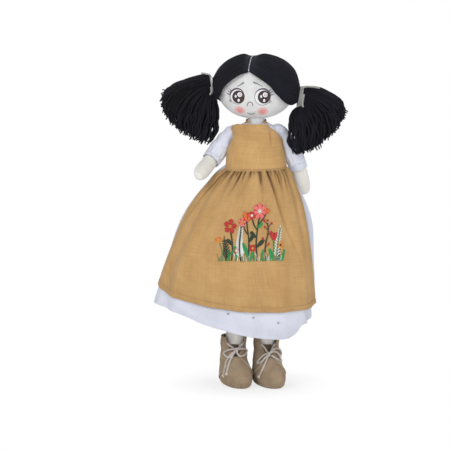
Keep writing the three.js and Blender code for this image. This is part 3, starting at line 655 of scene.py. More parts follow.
skin = skin_cloth("doll cotton")
# Limb cotton is the doll cotton, warmer and lighter: the warm tone is the cloth's own, the extra lightness is painted
# light against the skirt's shadow on the legs
limb_skin_lit = skin_cloth("limb cotton", light=(250, 246, 238), dark=(240, 236, 227))
hand_skin = skin_cloth("hand cotton", light=(240, 238, 231), dark=(230, 228, 220))
filling = felt_look("polyester filling", colour(246, 244, 238), colour(232, 229, 220))
dress_cotton = woven("dress cotton", colour(220, 223, 236), colour(206, 209, 223), 0.55, 0.35, 0.12)
# The apron's gathered colour is painted shade: a dark brown for the deep gathers at the waist
apron_linen = woven("apron linen", colour(206, 166, 110), colour(184, 143, 88), 0.95, 0.6, 0.25,
                    gathered=colour(104, 74, 40))
# Each yarn's and cord's darker colour is mostly painted shade in the grooves between its plies
hair_yarn = yarn_look("hair yarn", colour(39, 40, 56), colour(3, 3, 7), 2.4, 0.5, 0.02)
# The bunch's middle is the same black yarn, darker: painted shade deep inside the bunch
inner_yarn_shaded = felt_look("inner yarn", colour(16, 16, 21), colour(9, 9, 12))
tie_cord = yarn_look("tie cord", colour(226, 225, 220), colour(178, 177, 172), 2.0, 0.3, 0.15)
lace_cord = yarn_look("lace cord", colour(244, 235, 227), colour(208, 197, 186), 1.6, 0.25, 0.15)
boot_felt = felt_look("boot felt", colour(170, 150, 126), colour(140, 120, 97))
tongue_felt = felt_look("tongue felt", colour(122, 105, 88), colour(92, 78, 66))
seam_thread = thread_look("seam thread", colour(190, 172, 142))
hem_thread = thread_look("hem thread", colour(180, 140, 86))
white_thread = thread_look("white thread", colour(228, 228, 232))


def finish_piece(piece, look, slot, body, *nodes):
    """Gives a piece its material, its record slot, its body and the nodes that it stands for.

    body is a name, or two names with the start and the end of the bend between them."""
    piece.data.materials.clear()
    piece.data.materials.append(look)
    if isinstance(body, str):
        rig.ride(piece, body)
    else:
        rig.blend(piece, *body)
    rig.slot(piece, slot)
    if nodes:
        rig.replaces(piece, *nodes)
    return piece


def sewn(name, columns, rows, place, cloth, thick, look, slot, body, *nodes, wrap=False):
    """A finished piece of cloth or felt: its grid, its thickness, its look and its body."""
    piece = cloth_grid(name, columns, rows, place, cloth, wrap)
    thicken(piece, thick)
    return finish_piece(piece, look, slot, body, *nodes)


def stuff(piece, name, look, fill=0.9):
    """Finishes a filled skin, which rides on the body of that name, and the stuffing inside it."""
    finish_piece(piece, look, "cotton_skin", name, f"{name}_skin")
    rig.padded(piece, fill=fill)
    finish_piece(stuffing_in(f"{name}_filling", piece), filling, "stuffing", name, f"{name}_stuffing")


# Camera: the doll is seen straight on, from a little above and far away

PIXEL = 1.19                 # one picture pixel on the doll
PICTURE = 450 * PIXEL
CAMERA_AWAY = 3200
CAMERA_RISE = math.radians(8)
AIM = Vector((-29.8, 0, 191.0))


def set_camera():
    data = bpy.data.cameras.new("camera")
    camera = bpy.data.objects.new("camera", data)
    bpy.context.collection.objects.link(camera)
    back = Vector((0, -math.cos(CAMERA_RISE), math.sin(CAMERA_RISE)))
    camera.location = (AIM + back * CAMERA_AWAY) * MM
    camera.rotation_mode = "QUATERNION"
    camera.rotation_quaternion = (-back).to_track_quat("-Z", "Y")
    data.sensor_width = 36
    data.lens = data.sensor_width * CAMERA_AWAY / PICTURE
    data.clip_start = 0.1
    data.clip_end = 100
    bpy.context.scene.camera = camera


def seen_directly(look):
    """1 for what the camera sees, also in a mirror or through glass, and 0 for the light on the doll."""
    rays = node(look, "LightPath").outputs
    bent = maths(look, "MAXIMUM", rays["Is Glossy Ray"], rays["Is Transmission Ray"])
    return maths(look, "MAXIMUM", rays["Is Camera Ray"], bent)


def set_floor():
    """A pale floor that takes the doll's shadow near it and fades to plain white further off."""
    deselect()
    bpy.ops.mesh.primitive_plane_add(size=12, location=(0, 0, -0.0002))
    floor = bpy.context.object
    floor.name = "floor"
    look, shader = start_look("studio floor", 0.95, 0.0, 0.1)
    shader.inputs["Base Color"].default_value = colour(243, 243, 243)
    away = node(look, "VectorMath", {0: coordinates(look, "Object")}, operation="LENGTH").outputs["Value"]
    plain = scaled(look, seen_directly(look), added(look, ramp(look, away, 0.05, 0.25), 0.74))
    white = node(look, "Emission", {"Color": (1, 1, 1, 1), "Strength": 1.0})
    mixer = node(look, "MixShader", {0: plain, 1: shader.outputs[0], 2: white.outputs[0]})
    put(look, look.node_tree.nodes["Material Output"].inputs["Surface"], mixer.outputs[0])
    floor.data.materials.append(look)
    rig.stage(floor)


def set_world():
    """Soft light from all round; the camera sees it as plain white."""
    world = bpy.data.worlds.new("studio")
    world.use_nodes = True
    bpy.context.scene.world = world
    glow = world.node_tree.nodes["Background"]
    glow.inputs["Color"].default_value = (1, 1, 1, 1)
    glow.inputs["Strength"].default_value = 0.56
    white = node(world, "Background", {"Color": (1, 1, 1, 1), "Strength": 1.0})
    mixer = node(world, "MixShader", {0: seen_directly(world), 1: glow.outputs[0], 2: white.outputs[0]})
    put(world, world.node_tree.nodes["World Output"].inputs["Surface"], mixer.outputs[0])


def add_lamp(name, place, size, power):
    data = bpy.data.lights.new(name, "AREA")
    data.size = size
    data.energy = power
    lamp = bpy.data.objects.new(name, data)
    bpy.context.collection.objects.link(lamp)
    lamp.location = place
    lamp.rotation_mode = "QUATERNION"
    lamp.rotation_quaternion = (Vector((0, 0, 0.2)) - Vector(place)).to_track_quat("-Z", "Y")


set_camera()
set_floor()
set_world()
add_lamp("key", (-1.1, -1.6, 1.5), 1.0, 18)
add_lamp("fill", (1.6, -1.7, 0.7), 1.4, 12)
add_lamp("low", (0.0, -1.8, 0.12), 0.9, 5)
add_lamp("top", (0.2, 0.7, 1.9), 1.0, 8)
bpy.context.scene.view_settings.view_transform = "Standard"


# Head

head_low, head_high = (Vector(corner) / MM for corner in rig.box("head_skin"))
HEAD = (head_low + head_high) / 2
HEAD_WIDE, HEAD_DEEP, HEAD_TALL = (head_high - head_low) / 2
HEAD.z -= 2.5                # the filled chin hangs a little lower than the form
HEAD_TALL += 1.2
BODY_X = HEAD.x
HEAD_ROUND = 2.15            # a little fuller than an ellipse


def on_cap(x, turn, grow):
    """A point on the head's form, grown: x lies across, and turn goes round the line from ear to ear.

    turn is 0 in front and a quarter turn on top, in radians."""
    reach = min(0.9995, abs(x - HEAD.x) / (HEAD_WIDE + grow))
    size = (1 - reach ** HEAD_ROUND) ** (1 / HEAD_ROUND)
    power = 2 / HEAD_ROUND
    return Vector((
        x,
        HEAD.y - (HEAD_DEEP + grow) * size * signed_power(math.cos(turn), power),
        HEAD.z + (HEAD_TALL + grow) * size * signed_power(math.sin(turn), power),
    ))


def make_head():
    draw_in = 0.8            # the filling swells it out again

    def place(u, v):
        turn, rise = 2 * math.pi * u, math.pi * (v - 0.5)
        power = 2 / HEAD_ROUND
        spread = signed_power(math.cos(rise), power)
        return (
            HEAD.x + (HEAD_WIDE - draw_in) * spread * signed_power(math.sin(turn), power),
            HEAD.y - (HEAD_DEEP - draw_in) * spread * signed_power(math.cos(turn), power),
            HEAD.z + (HEAD_TALL - draw_in) * signed_power(math.sin(rise), power),
        )
    return plump(closed_form("head_cloth", 72, 44, place, (280, 150)), voxel=2.6, cap=1.2)


head = make_head()
head_surface = surface_of(head)


def on_face(x, z, lift):
    return in_front(head_surface, x, z, lift, HEAD.y - HEAD_DEEP)


# The face looks a little to the doll's right, so its middle line lies beside the head's

FACE_X = HEAD.x - 5.8
EYE_Z = HEAD.z - 7.7
BLUSHES = [(-13.6, -24.3), (13.4, -25.5)]       # from the face's middle line and the head's centre
BLUSH_RADIUS = 6.0

blush_places = [(on_face(FACE_X + x, HEAD.z + z, 0), BLUSH_RADIUS) for x, z in BLUSHES]
stuff(head, "head", skin_cloth("face cotton", blush_places), fill=0.95)

paint = {
    "white": thread_look("paint white", colour(240, 240, 243)),
    "line": thread_look("paint line", colour(84, 74, 84)),
    "grey": thread_look("paint grey", colour(132, 136, 142)),
    "rose": thread_look("paint rose", colour(178, 150, 155)),
    "nose": thread_look("paint nose", colour(140, 116, 122)),
    "mouth": thread_look("paint mouth", colour(146, 160, 160)),
    "iris": iris_look(),
}


def face_disc(name, x, z, wide, tall, look, lift, open_to):
    """A painted round that follows the face; open_to above 0 leaves its middle open, as a ring."""
    def place(u, v):
        turn = 2 * math.pi * u
        reach = mix(1.0, open_to, v)
        return on_face(x + wide * reach * math.cos(turn), z + tall * reach * math.sin(turn), lift)
    piece = cloth_grid(name, 32, 7, place, (1 / MM, 1 / MM), wrap=True)
    for corner in piece.data.uv_layers[0].data:
        corner.uv = (corner.uv[0], 1 - corner.uv[1])
    thicken(piece, PAINT_THICK)
    return finish_piece(piece, look, "cotton_skin", "head")


def face_line(name, points, widths, look, lift=0.12):
    """A painted line through (x, z) points, with its width at each."""
    steps = 23
    spine = curve_points([(x, 0, z) for x, z in points], steps + 1)
    broad = list(enumerate(widths))

    def place(u, v):
        k = min(steps - 1, int(u * steps))
        here = spine[k].lerp(spine[k + 1], u * steps - k)
        side = (spine[k + 1] - spine[k]).normalized()
        offset = (v - 0.5) * station(broad, u * (len(widths) - 1))[0]
        return on_face(here.x - side.z * offset, here.z + side.x * offset, lift)
    return sewn(name, steps, 2, place, (5, 1), PAINT_LINE_THICK, look, "cotton_skin", "head")


def arc(x, z, wide, tall, start, end, count=9):
    """(x, z) points on an arc round (x, z), with angles in degrees anticlockwise from the doll's left."""
    turns = [math.radians(mix(start, end, k / (count - 1))) for k in range(count)]
    return [(x + wide * math.cos(t), z + tall * math.sin(t)) for t in turns]


def make_eye(side, white, iris):
    """white and iris are (x, z, half width, half height) of the eye's rounds, from the face's middle line."""
    name = f"eye_{side}"
    way = 1 if side == "left" else -1
    wx, wz, ww, wh = FACE_X + white[0], EYE_Z + white[1], white[2], white[3]
    ix, iz, iw, ih = FACE_X + iris[0], EYE_Z + iris[1], iris[2], iris[3]
    for part, x, z, wide, tall, tone, lift, open_to in (
        ("white", wx, wz, ww, wh, "white", 0.10, 0.0),
        ("iris", ix, iz, iw, ih, "iris", 0.20, 0.0),
        ("shine", ix + 1.5, iz + 2.8, 2.8, 2.9, "white", 0.30, 0.0),
        ("shine_ring", ix + 1.7, iz + 2.7, 1.5, 1.5, "rose", 0.38, 0.55),
        ("glint", ix - 3.2, iz + 0.7, 1.1, 1.7, "white", 0.30, 0.0),
        ("drop", ix + 0.3, iz - 4.0, 1.3, 1.9, "white", 0.30, 0.0),
    ):
        face_disc(f"{name}_{part}", x, z, wide, tall, paint[tone], lift, open_to)

    def turn_at(angle):
        """An angle up from the eye's outer corner, as degrees anticlockwise from the doll's left."""
        return angle if way > 0 else 180 - angle

    def on_rim(angle):
        turn = math.radians(turn_at(angle))
        return (wx + ww * math.cos(turn), wz + wh * math.sin(turn))
    lid = arc(wx, wz, ww, wh, turn_at(4), turn_at(150), 13)
    face_line(f"{name}_lid", lid, [0.9, 1.8, 1.9, 1.4, 0.6], paint["line"], 0.34)
    rim = arc(wx, wz, ww, wh, turn_at(4), turn_at(-210), 15)
    face_line(f"{name}_rim", rim, [0.7, 0.7, 0.6, 0.6, 0.7], paint["grey"], 0.16)
    for k in range(3):
        root = on_rim(14 + 14 * k)
        tip = (root[0] + way * (4.3 - 0.5 * k), root[1] + 1.3 + 0.8 * k)
        middle = ((root[0] + tip[0]) / 2, (root[1] + tip[1]) / 2 - 0.4)
        face_line(f"{name}_lash_{k + 1}", [root, middle, tip], [1.3, 1.0, 0.4], paint["line"])
    for k in range(2):
        root = on_rim(-38 + 12 * k)
        tip = (root[0] + way * 2.3, root[1] - 1.5)
        middle = ((root[0] + tip[0]) / 2, (root[1] + tip[1]) / 2)
        face_line(f"{name}_low_lash_{k + 1}", [root, middle, tip], [1.1, 0.9, 0.4], paint["line"])


make_eye("right", (-16.6, 0.5, 8.4, 9.2), (-15.2, 0.0, 7.2, 7.7))
make_eye("left", (13.0, 0.0, 9.3, 9.7), (14.6, 0.0, 7.2, 7.7))

for side, points, widths in (
    ("right", [(-17.0, 12.2), (-13.0, 14.2), (-8.9, 17.1)], [0.7, 1.3, 2.2]),
    ("left", [(2.0, 17.3), (7.0, 15.6), (13.2, 12.4)], [2.2, 1.4, 0.7]),
):
    face_line(f"brow_{side}", [(FACE_X + x, EYE_Z + z) for x, z in points], widths, paint["grey"])
nose = arc(FACE_X - 1.6, EYE_Z - 10.1, 3.3, 4.1, 192, -12)
face_line("nose", nose, [0.9, 1.1, 1.2, 1.1, 0.9], paint["nose"])
mouth = arc(FACE_X - 0.2, EYE_Z - 18.7, 4.7, 2.1, 190, 350)
face_line("mouth", mouth, [0.9, 1.4, 1.6, 1.4, 0.8], paint["mouth"])


# Hair

NAPE_TURN = math.radians(220)
BROW_TURN = math.radians(36)
HAIR_FULL = 4.9              # the yarn's middle above the head's skin
HAIR_RADIUS = 0.9
HAIR_COUNT = 90

# The hairline in front, as [distance across from the head's middle, turn in degrees]
HAIRLINES = {
    "right": [[8, 36], [16, 31], [27, 22.4], [34.7, 14.2], [40.7, 1.6], [44.1, -21], [48, -50]],
    "left": [[-8, 36], [-5, 31], [1, 22.8], [10, 14], [16.5, 7.8], [21.3, -0.8], [27.4, -9.8], [36.6, -29.4],
             [42, -44], [48, -60]],
}
TIES = {
    "right": {"side": -1, "x": BODY_X - 52.5, "z": HEAD.z + 4.5, "half_height": 9.5, "half_depth": 8.5,
              "turns": 1, "cord": 0.9},
    "left": {"side": 1, "x": BODY_X + 53, "z": HEAD.z - 10, "half_height": 10, "half_depth": 8.5,
             "turns": 2.5, "cord": 1.1},
}


def parting_x(turn):
    return HEAD.x - 4 - 6.5 * math.cos(turn)


def hair_point(side, share, t, grow):
    """share runs from the brow over the crown to the nape, t from the parting to the tie."""
    tie = TIES[side]
    start = parting_x(mix(BROW_TURN, NAPE_TURN, share)) + tie["side"] * 1.0
    end = HEAD.x + tie["side"] * (HEAD_WIDE + grow - 0.4)
    x = mix(start, end, math.sin(t * math.pi / 2))
    front = math.radians(station(HAIRLINES[side], tie["side"] * (x - HEAD.x))[0])
    turn = mix(front, NAPE_TURN, share)
    low = mix(0.25, 1.0, smooth(abs(x - start) / 12))
    point = on_cap(x, turn, grow * low)
    ring = Vector((
        tie["x"] - tie["side"] * 1.5,
        -(tie["half_depth"] - 1) * math.cos(turn),
        tie["z"] + (tie["half_height"] - 1) * math.sin(turn),
    ))
    return point.lerp(ring, smooth((t - 0.7) / 0.3))


def make_hair(side):
    tie = TIES[side]

    def under(u, v):
        return hair_point(side, u if tie["side"] > 0 else 1 - u, v, HAIR_FULL - 1.2)
    sewn(f"hair_{side}_base", 70, 30, under, (110, 90), YARN_BASE_THICK, hair_yarn, "yarn", "head",
         f"hair_{side}")

    luck = random.Random(11 + tie["side"])
    paths = []
    for k in range(HAIR_COUNT):
        share = (k + 0.15 + 0.5 * luck.random()) / HAIR_COUNT if k else 0.0
        lift = luck.uniform(-0.6, 0.45)
        paths.append([hair_point(side, share, step / 26, HAIR_FULL + lift) for step in range(27)])
    yarns = strands(f"hair_{side}_yarns", paths, HAIR_RADIUS)
    finish_piece(yarns, hair_yarn, "yarn", "head")


for side in ("right", "left"):
    make_hair(side)


def make_parting():
    """White running stitches that hold the yarn down along the parting."""
    count = 30
    gap = 0.4
    paths = []
    for k in range(count):
        ends = [mix(BROW_TURN, NAPE_TURN, (k + e) / count) for e in (0.0, 1 - gap)]
        turns = [mix(ends[0], ends[1], share) for share in (0, 0.15, 0.5, 0.85, 1)]
        rise = [1.0, 2.1, 2.3, 2.1, 1.0]
        paths.append([on_cap(parting_x(turn), turn, lift) for turn, lift in zip(turns, rise)])
    piece = strands("parting_stitches", paths, 0.42, 8)
    finish_piece(piece, white_thread, "cord", "head", "hair_parting")


make_parting()

TIE_TAILS = {
    "right": [(-2, -5.5, 11.4), (-7, -6.5, 13.4), (-12.5, -6.5, 14.2)],
    "left": [(5, -5.5, 12.4), (13, -6.5, 12.4), (22, -6.2, 11.0)],
}


def make_tie(side):
    """A cord wound round the root of a bunch: one tail lies over the bunch, one hangs in front."""
    tie = TIES[side]
    turns, cord = tie["turns"], tie["cord"]
    per_turn = 20
    out = cord + 0.7
    wound = []
    for step in range(int(turns * per_turn) + 1):
        turn = math.radians(200) + 2 * math.pi * step / per_turn
        high = (tie["half_height"] + out) * math.sin(turn)
        wound.append(Vector((
            tie["x"] + tie["side"] * (cord * 2 * (step / per_turn - turns / 2) + 0.14 * high),
            -(tie["half_depth"] + out) * math.cos(turn),
            tie["z"] + high,
        )))
    centre = Vector((tie["x"], 0, tie["z"]))
    tail = [wound[len(wound) // 2 - 13], *(centre + Vector(p) for p in TIE_TAILS[side])]
    drop = centre + Vector((tie["side"] * 1.0, -tie["half_depth"] - 2.2, -2))
    hang = [drop, drop + Vector((0.6, -1.6, -5)), drop + Vector((tie["side"] * 1.2, -1.4, -9))]
    paths = [wound, curve_points(tail, 16), curve_points(hang, 12)]
    piece = strands(f"hair_tie_{side}_cord", paths, cord, 8)
    finish_piece(piece, tie_cord, "cord", "head", f"hair_tie_{side}")


# Each bunch is a fan of yarn: its outer, middle and inner yarns, as (x, z) from its tie
BUNCHES = {
    "right": {
        "outer": [(0, 9), (-6, 12), (-20, 8.5), (-34, 3.5), (-46, -2), (-53, -7)],
        "middle": [(0, 0), (-12, 1), (-28, -4), (-42, -15), (-49, -28), (-49, -42)],
        "inner": [(0, -9), (3, -12), (7, -21), (9, -34), (9, -47), (6, -60), (-2, -70)],
    },
    "left": {
        "outer": [(0, 9), (5, 12), (20, 11), (36, 3.5), (47, -6), (51, -16)],
        "middle": [(0, 0), (8, -1), (20, -9), (30, -22), (33, -36), (30, -48)],
        "inner": [(0, -9), (-4, -12), (-11, -18), (-14, -30), (-15, -43), (-15, -55), (-8, -65)],
    },
}
BUNCH_DEPTH = [[0, 8], [0.17, 8.5], [0.33, 12], [0.5, 16], [0.67, 17], [0.83, 16], [1, 12]]
BUNCH_YARNS = 290
BUNCH_RADIUS = 1.0


def bunch_point(side, across, deep, t):
    """A point of a bunch: across is 0 at the outer edge and 1 at the inner one.

    deep is -1 in front and 1 behind, and t runs from the tie to the ends."""
    tie, edges = TIES[side], BUNCHES[side]
    outer, middle, inner = (
        curve_point([Vector((x, 0, z)) for x, z in edges[edge]], t) for edge in ("outer", "middle", "inner")
    )
    point = (outer * (1 - across) * (1 - 2 * across) + middle * 4 * across * (1 - across)
             + inner * across * (2 * across - 1))
    round_off = math.sqrt(max(0.0, 1 - (2 * across - 1) ** 2))
    point.y = deep * round_off * station(BUNCH_DEPTH, t)[0]
    if side == "left":
        point.y -= 17 * smooth(across * 2 - 1) * smooth(t * 2 - 0.6)
    return point + Vector((tie["x"] + tie["side"] * 0.6, 0, tie["z"]))


def make_bunch(side):
    def core(u, v):
        turn = 2 * math.pi * u
        t = mix(0.02, 0.86, v)
        size = 0.84 if 0 < v < 1 else 0.0
        return bunch_point(side, 0.5 + 0.5 * size * math.cos(turn), size * math.sin(turn), t)
    body = f"hair_bunch_{side}"
    # Its darker middle is painted shade inside the bunch
    middle = closed_form(f"{body}_core", 32, 16, core, (120, 80))
    finish_piece(middle, inner_yarn_shaded, "yarn", body, body)

    luck = random.Random(31 if side == "left" else 47)
    paths = []
    for k in range(BUNCH_YARNS):
        turn = 2 * math.pi * (k * 0.618034 % 1)
        shell = 1 - 0.3 * luck.random() ** 1.4
        across = 0.5 + 0.5 * shell * math.cos(turn)
        deep = math.copysign(1, math.sin(turn)) * (0.6 + 0.4 * luck.random()) * shell
        reach = luck.uniform(0.9, 1.0)
        sway = [luck.uniform(-1, 1) for _ in range(6)]
        path = []
        for step in range(19):
            t = step / 18
            point = bunch_point(side, across, deep, min(1.0, t * reach))
            loose = smooth(t * 1.3)
            bend = math.sin(t * (6 + 3 * sway[2]) + 3 * sway[0])
            kink = math.sin(t * (21 + 5 * sway[4]) + 3 * sway[5])
            aside = Vector((2.0 * sway[0] * bend + kink, 2.2 * sway[1] * bend, sway[3] * bend))
            path.append(point + aside * loose)
        extra = (path[-1] - path[-2]).normalized() * luck.uniform(1.0, 5.0)
        path.append(path[-1] + extra + Vector((sway[3], sway[1], sway[2])) * 2.0)
        paths.append(path)

    def yarn_end(share):
        return mix(1.0, 0.7, smooth((share - 0.9) / 0.1))
    yarns = strands(f"{body}_yarns", paths, BUNCH_RADIUS, taper=yarn_end)
    finish_piece(yarns, hair_yarn, "yarn", body)


for side in ("right", "left"):
    make_tie(side)
    make_bunch(side)


# Body

SHOULDER = 301
WAIST = 263
HIP = 226
NECK_BASE = 313.5
TORSO_ROUND = 2.7
TORSO = [                    # height, half width, half depth
    [237.1, 16.5, 7.4], [239.6, 23.8, 12.9], [245.1, 29.7, 17.6], [263, 33, 18.5],
    [280, 29.7, 18.5], [295, 27.5, 17.5], [305, 24, 15.5], [310.5, 18.2, 12.5], [313.5, 12, 11.5],
]
BODICE_GROW = 1.4
BIB_GROW = 3.5


def torso_point(turn, z, grow):
    """turn is 0 in front and grows towards the doll's left, in radians."""
    half_width, half_depth = station(TORSO, z)
    power = 2 / TORSO_ROUND
    return Vector((
        BODY_X + (half_width + grow) * signed_power(math.sin(turn), power),
        -(half_depth + grow) * signed_power(math.cos(turn), power),
        z,
    ))


def make_torso():
    low, high = TORSO[0][0] + 0.8, TORSO[-1][0] - 0.8

    def place(u, v):
        turn = 2 * math.pi * u
        if v in (0, 1):
            return Vector((BODY_X, 0, low if v == 0 else high))
        return torso_point(turn, mix(low, high, (v - 0.04) / 0.92), -1.0)
    piece = plump(closed_form("torso_cloth", 40, 25, place, (170, 90)), voxel=2.6, cap=0.8)
    stuff(piece, "torso", skin)


NECK_RADIUS = 11


def make_neck():
    low, high = NECK_BASE - 12, NECK_BASE + 6.5 + 14

    def place(u, v):
        turn = 2 * math.pi * u
        if v in (0, 1):
            return Vector((BODY_X, 0, mix(low, high, v)))
        radius = NECK_RADIUS - 0.9 * math.sin(math.pi * v) + 0.12 * math.sin(9 * turn)
        back = 4 * v * v     # the chin hangs in front of it
        z = mix(low, high, (v - 0.05) / 0.9)
        return Vector((BODY_X + radius * math.sin(turn), back - radius * math.cos(turn), z))
    piece = closed_form("neck_cloth", 48, 20, place, (70, 32))
    finish_piece(piece, skin, "cotton_skin", "neck", "neck")
    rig.padded(piece, fill=0.9)


make_torso()
make_neck()


# Arms

SHOULDER_X = 29.9
ARM_BENDS = {
    "right": [(-22, -3, -30), (-40, -37, -49)],
    "left": [(18, 5, -35), (29, 16, -76)],
}
ARM_FORM = [                 # share of the length, half width, half depth
    [0, 4.6, 4.6], [0.12, 5.4, 5.4], [0.33, 6.4, 6.4], [0.42, 7.4, 7.0], [0.5, 8.5, 7.4], [0.6, 9.2, 7.6],
    [0.7, 9.6, 7.8], [0.78, 10.0, 7.8], [0.88, 10.0, 7.6], [0.94, 8.6, 6.4], [0.98, 5.6, 4.2],
    [1.0, 0.0, 0.0],
]


def side_sign(side):
    return -1 if side == "right" else 1


def arm_route(side):
    sign = side_sign(side)
    shoulder = Vector((BODY_X + sign * SHOULDER_X, 0, SHOULDER))
    bends = [shoulder + Vector(bend) for bend in ARM_BENDS[side]]
    return [shoulder + Vector((-sign * 9, 0, 0.5)), shoulder, *bends]


def limb_point(route, share, turn, half_width, half_depth):
    """A point round a limb's middle line: turn 0 faces the front."""
    centre = curve_point(route, share)
    ahead, before = curve_point(route, min(1, share + 0.01)), curve_point(route, max(0, share - 0.01))
    along = (ahead - before).normalized()
    across = along.cross(Vector((0, 1, 0))).normalized()
    forward = across.cross(along).normalized()
    return centre + across * half_width * math.sin(turn) - forward * half_depth * math.cos(turn)


def make_arm(side):
    route = arm_route(side)
    draw_in = 0.5

    def place(u, v):
        half_width, half_depth = station(ARM_FORM, v)
        thin = draw_in if v < 0.97 else 0
        if v == 0:
            half_width = half_depth = thin
        return limb_point(route, mix(0.1, 1.0, v), -2 * math.pi * u, half_width - thin, half_depth - thin)
    piece = plump(closed_form(f"arm_{side}_cloth", 28, 40, place, (50, 90)), voxel=1.8, cap=0.8)
    stuff(piece, f"arm_{side}", hand_skin)


SLEEVE_END = {"right": 0.70, "left": 0.73}      # as a share of the arm's length
SLEEVE_FORM = [              # share of the arm's length, radius
    [0.0, 3.0], [0.1, 6.3], [0.22, 7.4], [0.33, 8.1], [0.42, 9.2], [0.5, 10.5], [0.58, 11.2], [0.7, 11.0],
]
CUFF_LONG = 0.06
SHOULDER_FULL = {"right": 0, "left": 3.2}       # the doll's left shoulder is set fuller than its right


def declare_cloth(piece, wide, long, held, *rests_on, area, with_pieces=()):
    """Tells the frame the flat size that a cloth was cut to, in millimetres, and its area in square ones."""
    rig.sheet(
        piece, flat=(wide * MM, long * MM), held=held, rests_on=list(rests_on), area=area * MM * MM,
        with_pieces=list(with_pieces),
    )


def sleeve_wrinkles(side, share, turn):
    """Slanting creases that run round the sleeve, deepest where the arm bends."""
    tilt = turn + side_sign(side) * 0.7
    bent = bell(share - 0.42, 0.14)
    slack = (0.4 + 0.6 * bent) * smooth(share * 8)
    creases = math.sin(share * 58 + 2.6 * math.cos(tilt))
    creases *= 0.35 + 0.65 * bell(math.sin((turn - 1.1) / 2), 0.5)
    fine = math.sin(share * 131 - 3.1 * math.sin(tilt + 0.6)) * bell(math.sin((turn + 0.6) / 2), 0.6)
    gathers = math.sin(11 * turn + 2 * math.sin(turn))
    gathers *= bell(share - 0.1, 0.1) * 0.4 + bell(share - 0.6, 0.07) * 0.4
    return slack * (0.75 * creases + 0.25 * fine) + gathers


def make_sleeve(side):
    route = arm_route(side)
    shoulder = route[1]
    bend = (tuple(shoulder * MM), tuple(curve_point(route, 0.5) * MM))
    joined = ("torso", f"arm_{side}", *bend)

    def sleeve(u, v):
        share = mix(0.01, SLEEVE_END[side] - CUFF_LONG, v)
        turn = 2 * math.pi * u
        radius = station(SLEEVE_FORM, share)[0] + sleeve_wrinkles(side, share, turn)
        radius += SHOULDER_FULL[side] * (1 - smooth(share / 0.36))
        return limb_point(route, share, -turn, radius, radius)
    sleeve_cloth = sewn(f"sleeve_{side}_cloth", 96, 60, sleeve, (75, 52), SLEEVE_THICK,
                        dress_cotton, "dress_cotton", joined, f"sleeve_{side}", wrap=True)

    def cuff(u, v):
        share = mix(SLEEVE_END[side] - CUFF_LONG - 0.004, SLEEVE_END[side], v)
        turn = 2 * math.pi * u
        radius = mix(11.0, 10.9, v) + 0.25 * math.sin(8 * turn) - 0.5 * bell(v, 0.08)
        return limb_point(route, share, -turn, radius, radius - 1.2 * v)
    cuff_cloth = sewn(f"cuff_{side}_cloth", 80, 14, cuff, (62, 6), CUFF_THICK,
                      dress_cotton, "dress_cotton", f"arm_{side}", f"cuff_{side}", wrap=True)
    declare_cloth(
        sleeve_cloth, 72, 52, "stretched", f"arm_{side}_cloth",
        area=2840 if side == "right" else 3400, with_pieces=[cuff_cloth],
    )


for side in ("right", "left"):
    make_arm(side)
    make_sleeve(side)


# Dress

def make_bodice():
    low, high = WAIST + 0.2, NECK_BASE + 0.4

    def place(u, v):
        turn = 2 * math.pi * (u - 0.5)
        z = mix(low, high, v)
        creases = 0.35 * math.sin(9 * turn + z * 0.2) * (1 - smooth((z - 285) / 20))
        edge = 0.3 if v > 0.96 else 0
        return torso_point(turn, min(z, TORSO[-1][0]), BODICE_GROW + creases * 0.5 + edge)
    piece = sewn("bodice_cloth", 120, 44, place, (190, 52), DRESS_THICK,
                 dress_cotton, "dress_cotton", "torso", "dress_bodice", wrap=True)
    declare_cloth(piece, 170, 52, "stretched", "torso_cloth", area=8320)


make_bodice()

SKIRT_DROP = 203             # from the waist to the lowest hem
WAIST_WIDE = 33 + BODICE_GROW                   # half width and half depth of the skirts at the waist
WAIST_DEEP = 20.5
FLARE_WIDE = 61              # how much these grow down to the lowest hem
FLARE_DEEP = 25
DRIFT = 26                   # how far the skirts' middle moves to the doll's right on the way down
FOLD = 2.3                   # depth and number of the broad folds
FOLDS = 13
PUFF = {"right": 7, "left": 7.5}                # how far the dress stands out past the apron
PUFF_TURN = math.radians(78)                    # where that starts
APRON_TURN = math.radians(85)                   # how far round the apron is taken to reach, each way
BEND_END = 215               # the skirts bend between the waist and this height
SKIRT_BEND = ("torso", "lap", (BODY_X * MM, 0, WAIST * MM), (BODY_X * MM, 0, BEND_END * MM))


def puff(turn, share):
    """The dress stands out at the sides, past the apron's edges."""
    past = (abs(turn) - PUFF_TURN) / math.radians(50)
    if not 0 < past < 1:
        return 0
    full = PUFF["right" if turn < 0 else "left"]
    return full * math.sin(math.pi * past) ** 2 * math.sin(math.pi * min(1, share * 1.6)) ** 2


def hip_swell(turn, share):
    """The skirts stand out from the doll's right hip straight below the waist."""
    down = smooth((share + 0.02) / 0.07) * (1 - smooth((share - 0.1) / 0.4))
    return 6 * smooth((-turn - 0.6) / 0.9) * down


def waist_sag(turn):
    """How far the apron's waist seam hangs below the waist's level."""
    return 2.2 + 2.0 * math.cos(turn) - 1.4 * math.sin(turn)


def folds(turn, share):
    depth = mix(0.5, FOLD, smooth(share * 1.4))
    return depth * (0.7 * math.sin(FOLDS * turn) + 0.5 * math.sin(7 * turn + 1) * share)


def skirt_point(turn, z, grow):
    share = (WAIST - z) / SKIRT_DROP
    left = max(0, 1 - share)
    drift = math.sin(math.pi / 2 * min(1, share)) ** 1.3 if share > 0 else 0
    extra = grow + folds(turn, share) + puff(turn, share)
    half_width = WAIST_WIDE + FLARE_WIDE * (1 - left ** 2.3) + extra + hip_swell(turn, share)
    half_depth = WAIST_DEEP + FLARE_DEEP * (1 - left ** 1.6) + extra
    power = 2 / mix(TORSO_ROUND, 2, smooth(share * 3))
    return Vector((
        BODY_X - DRIFT * drift + half_width * signed_power(math.sin(turn), power),
        -half_depth * signed_power(math.cos(turn), power),
        z,
    ))


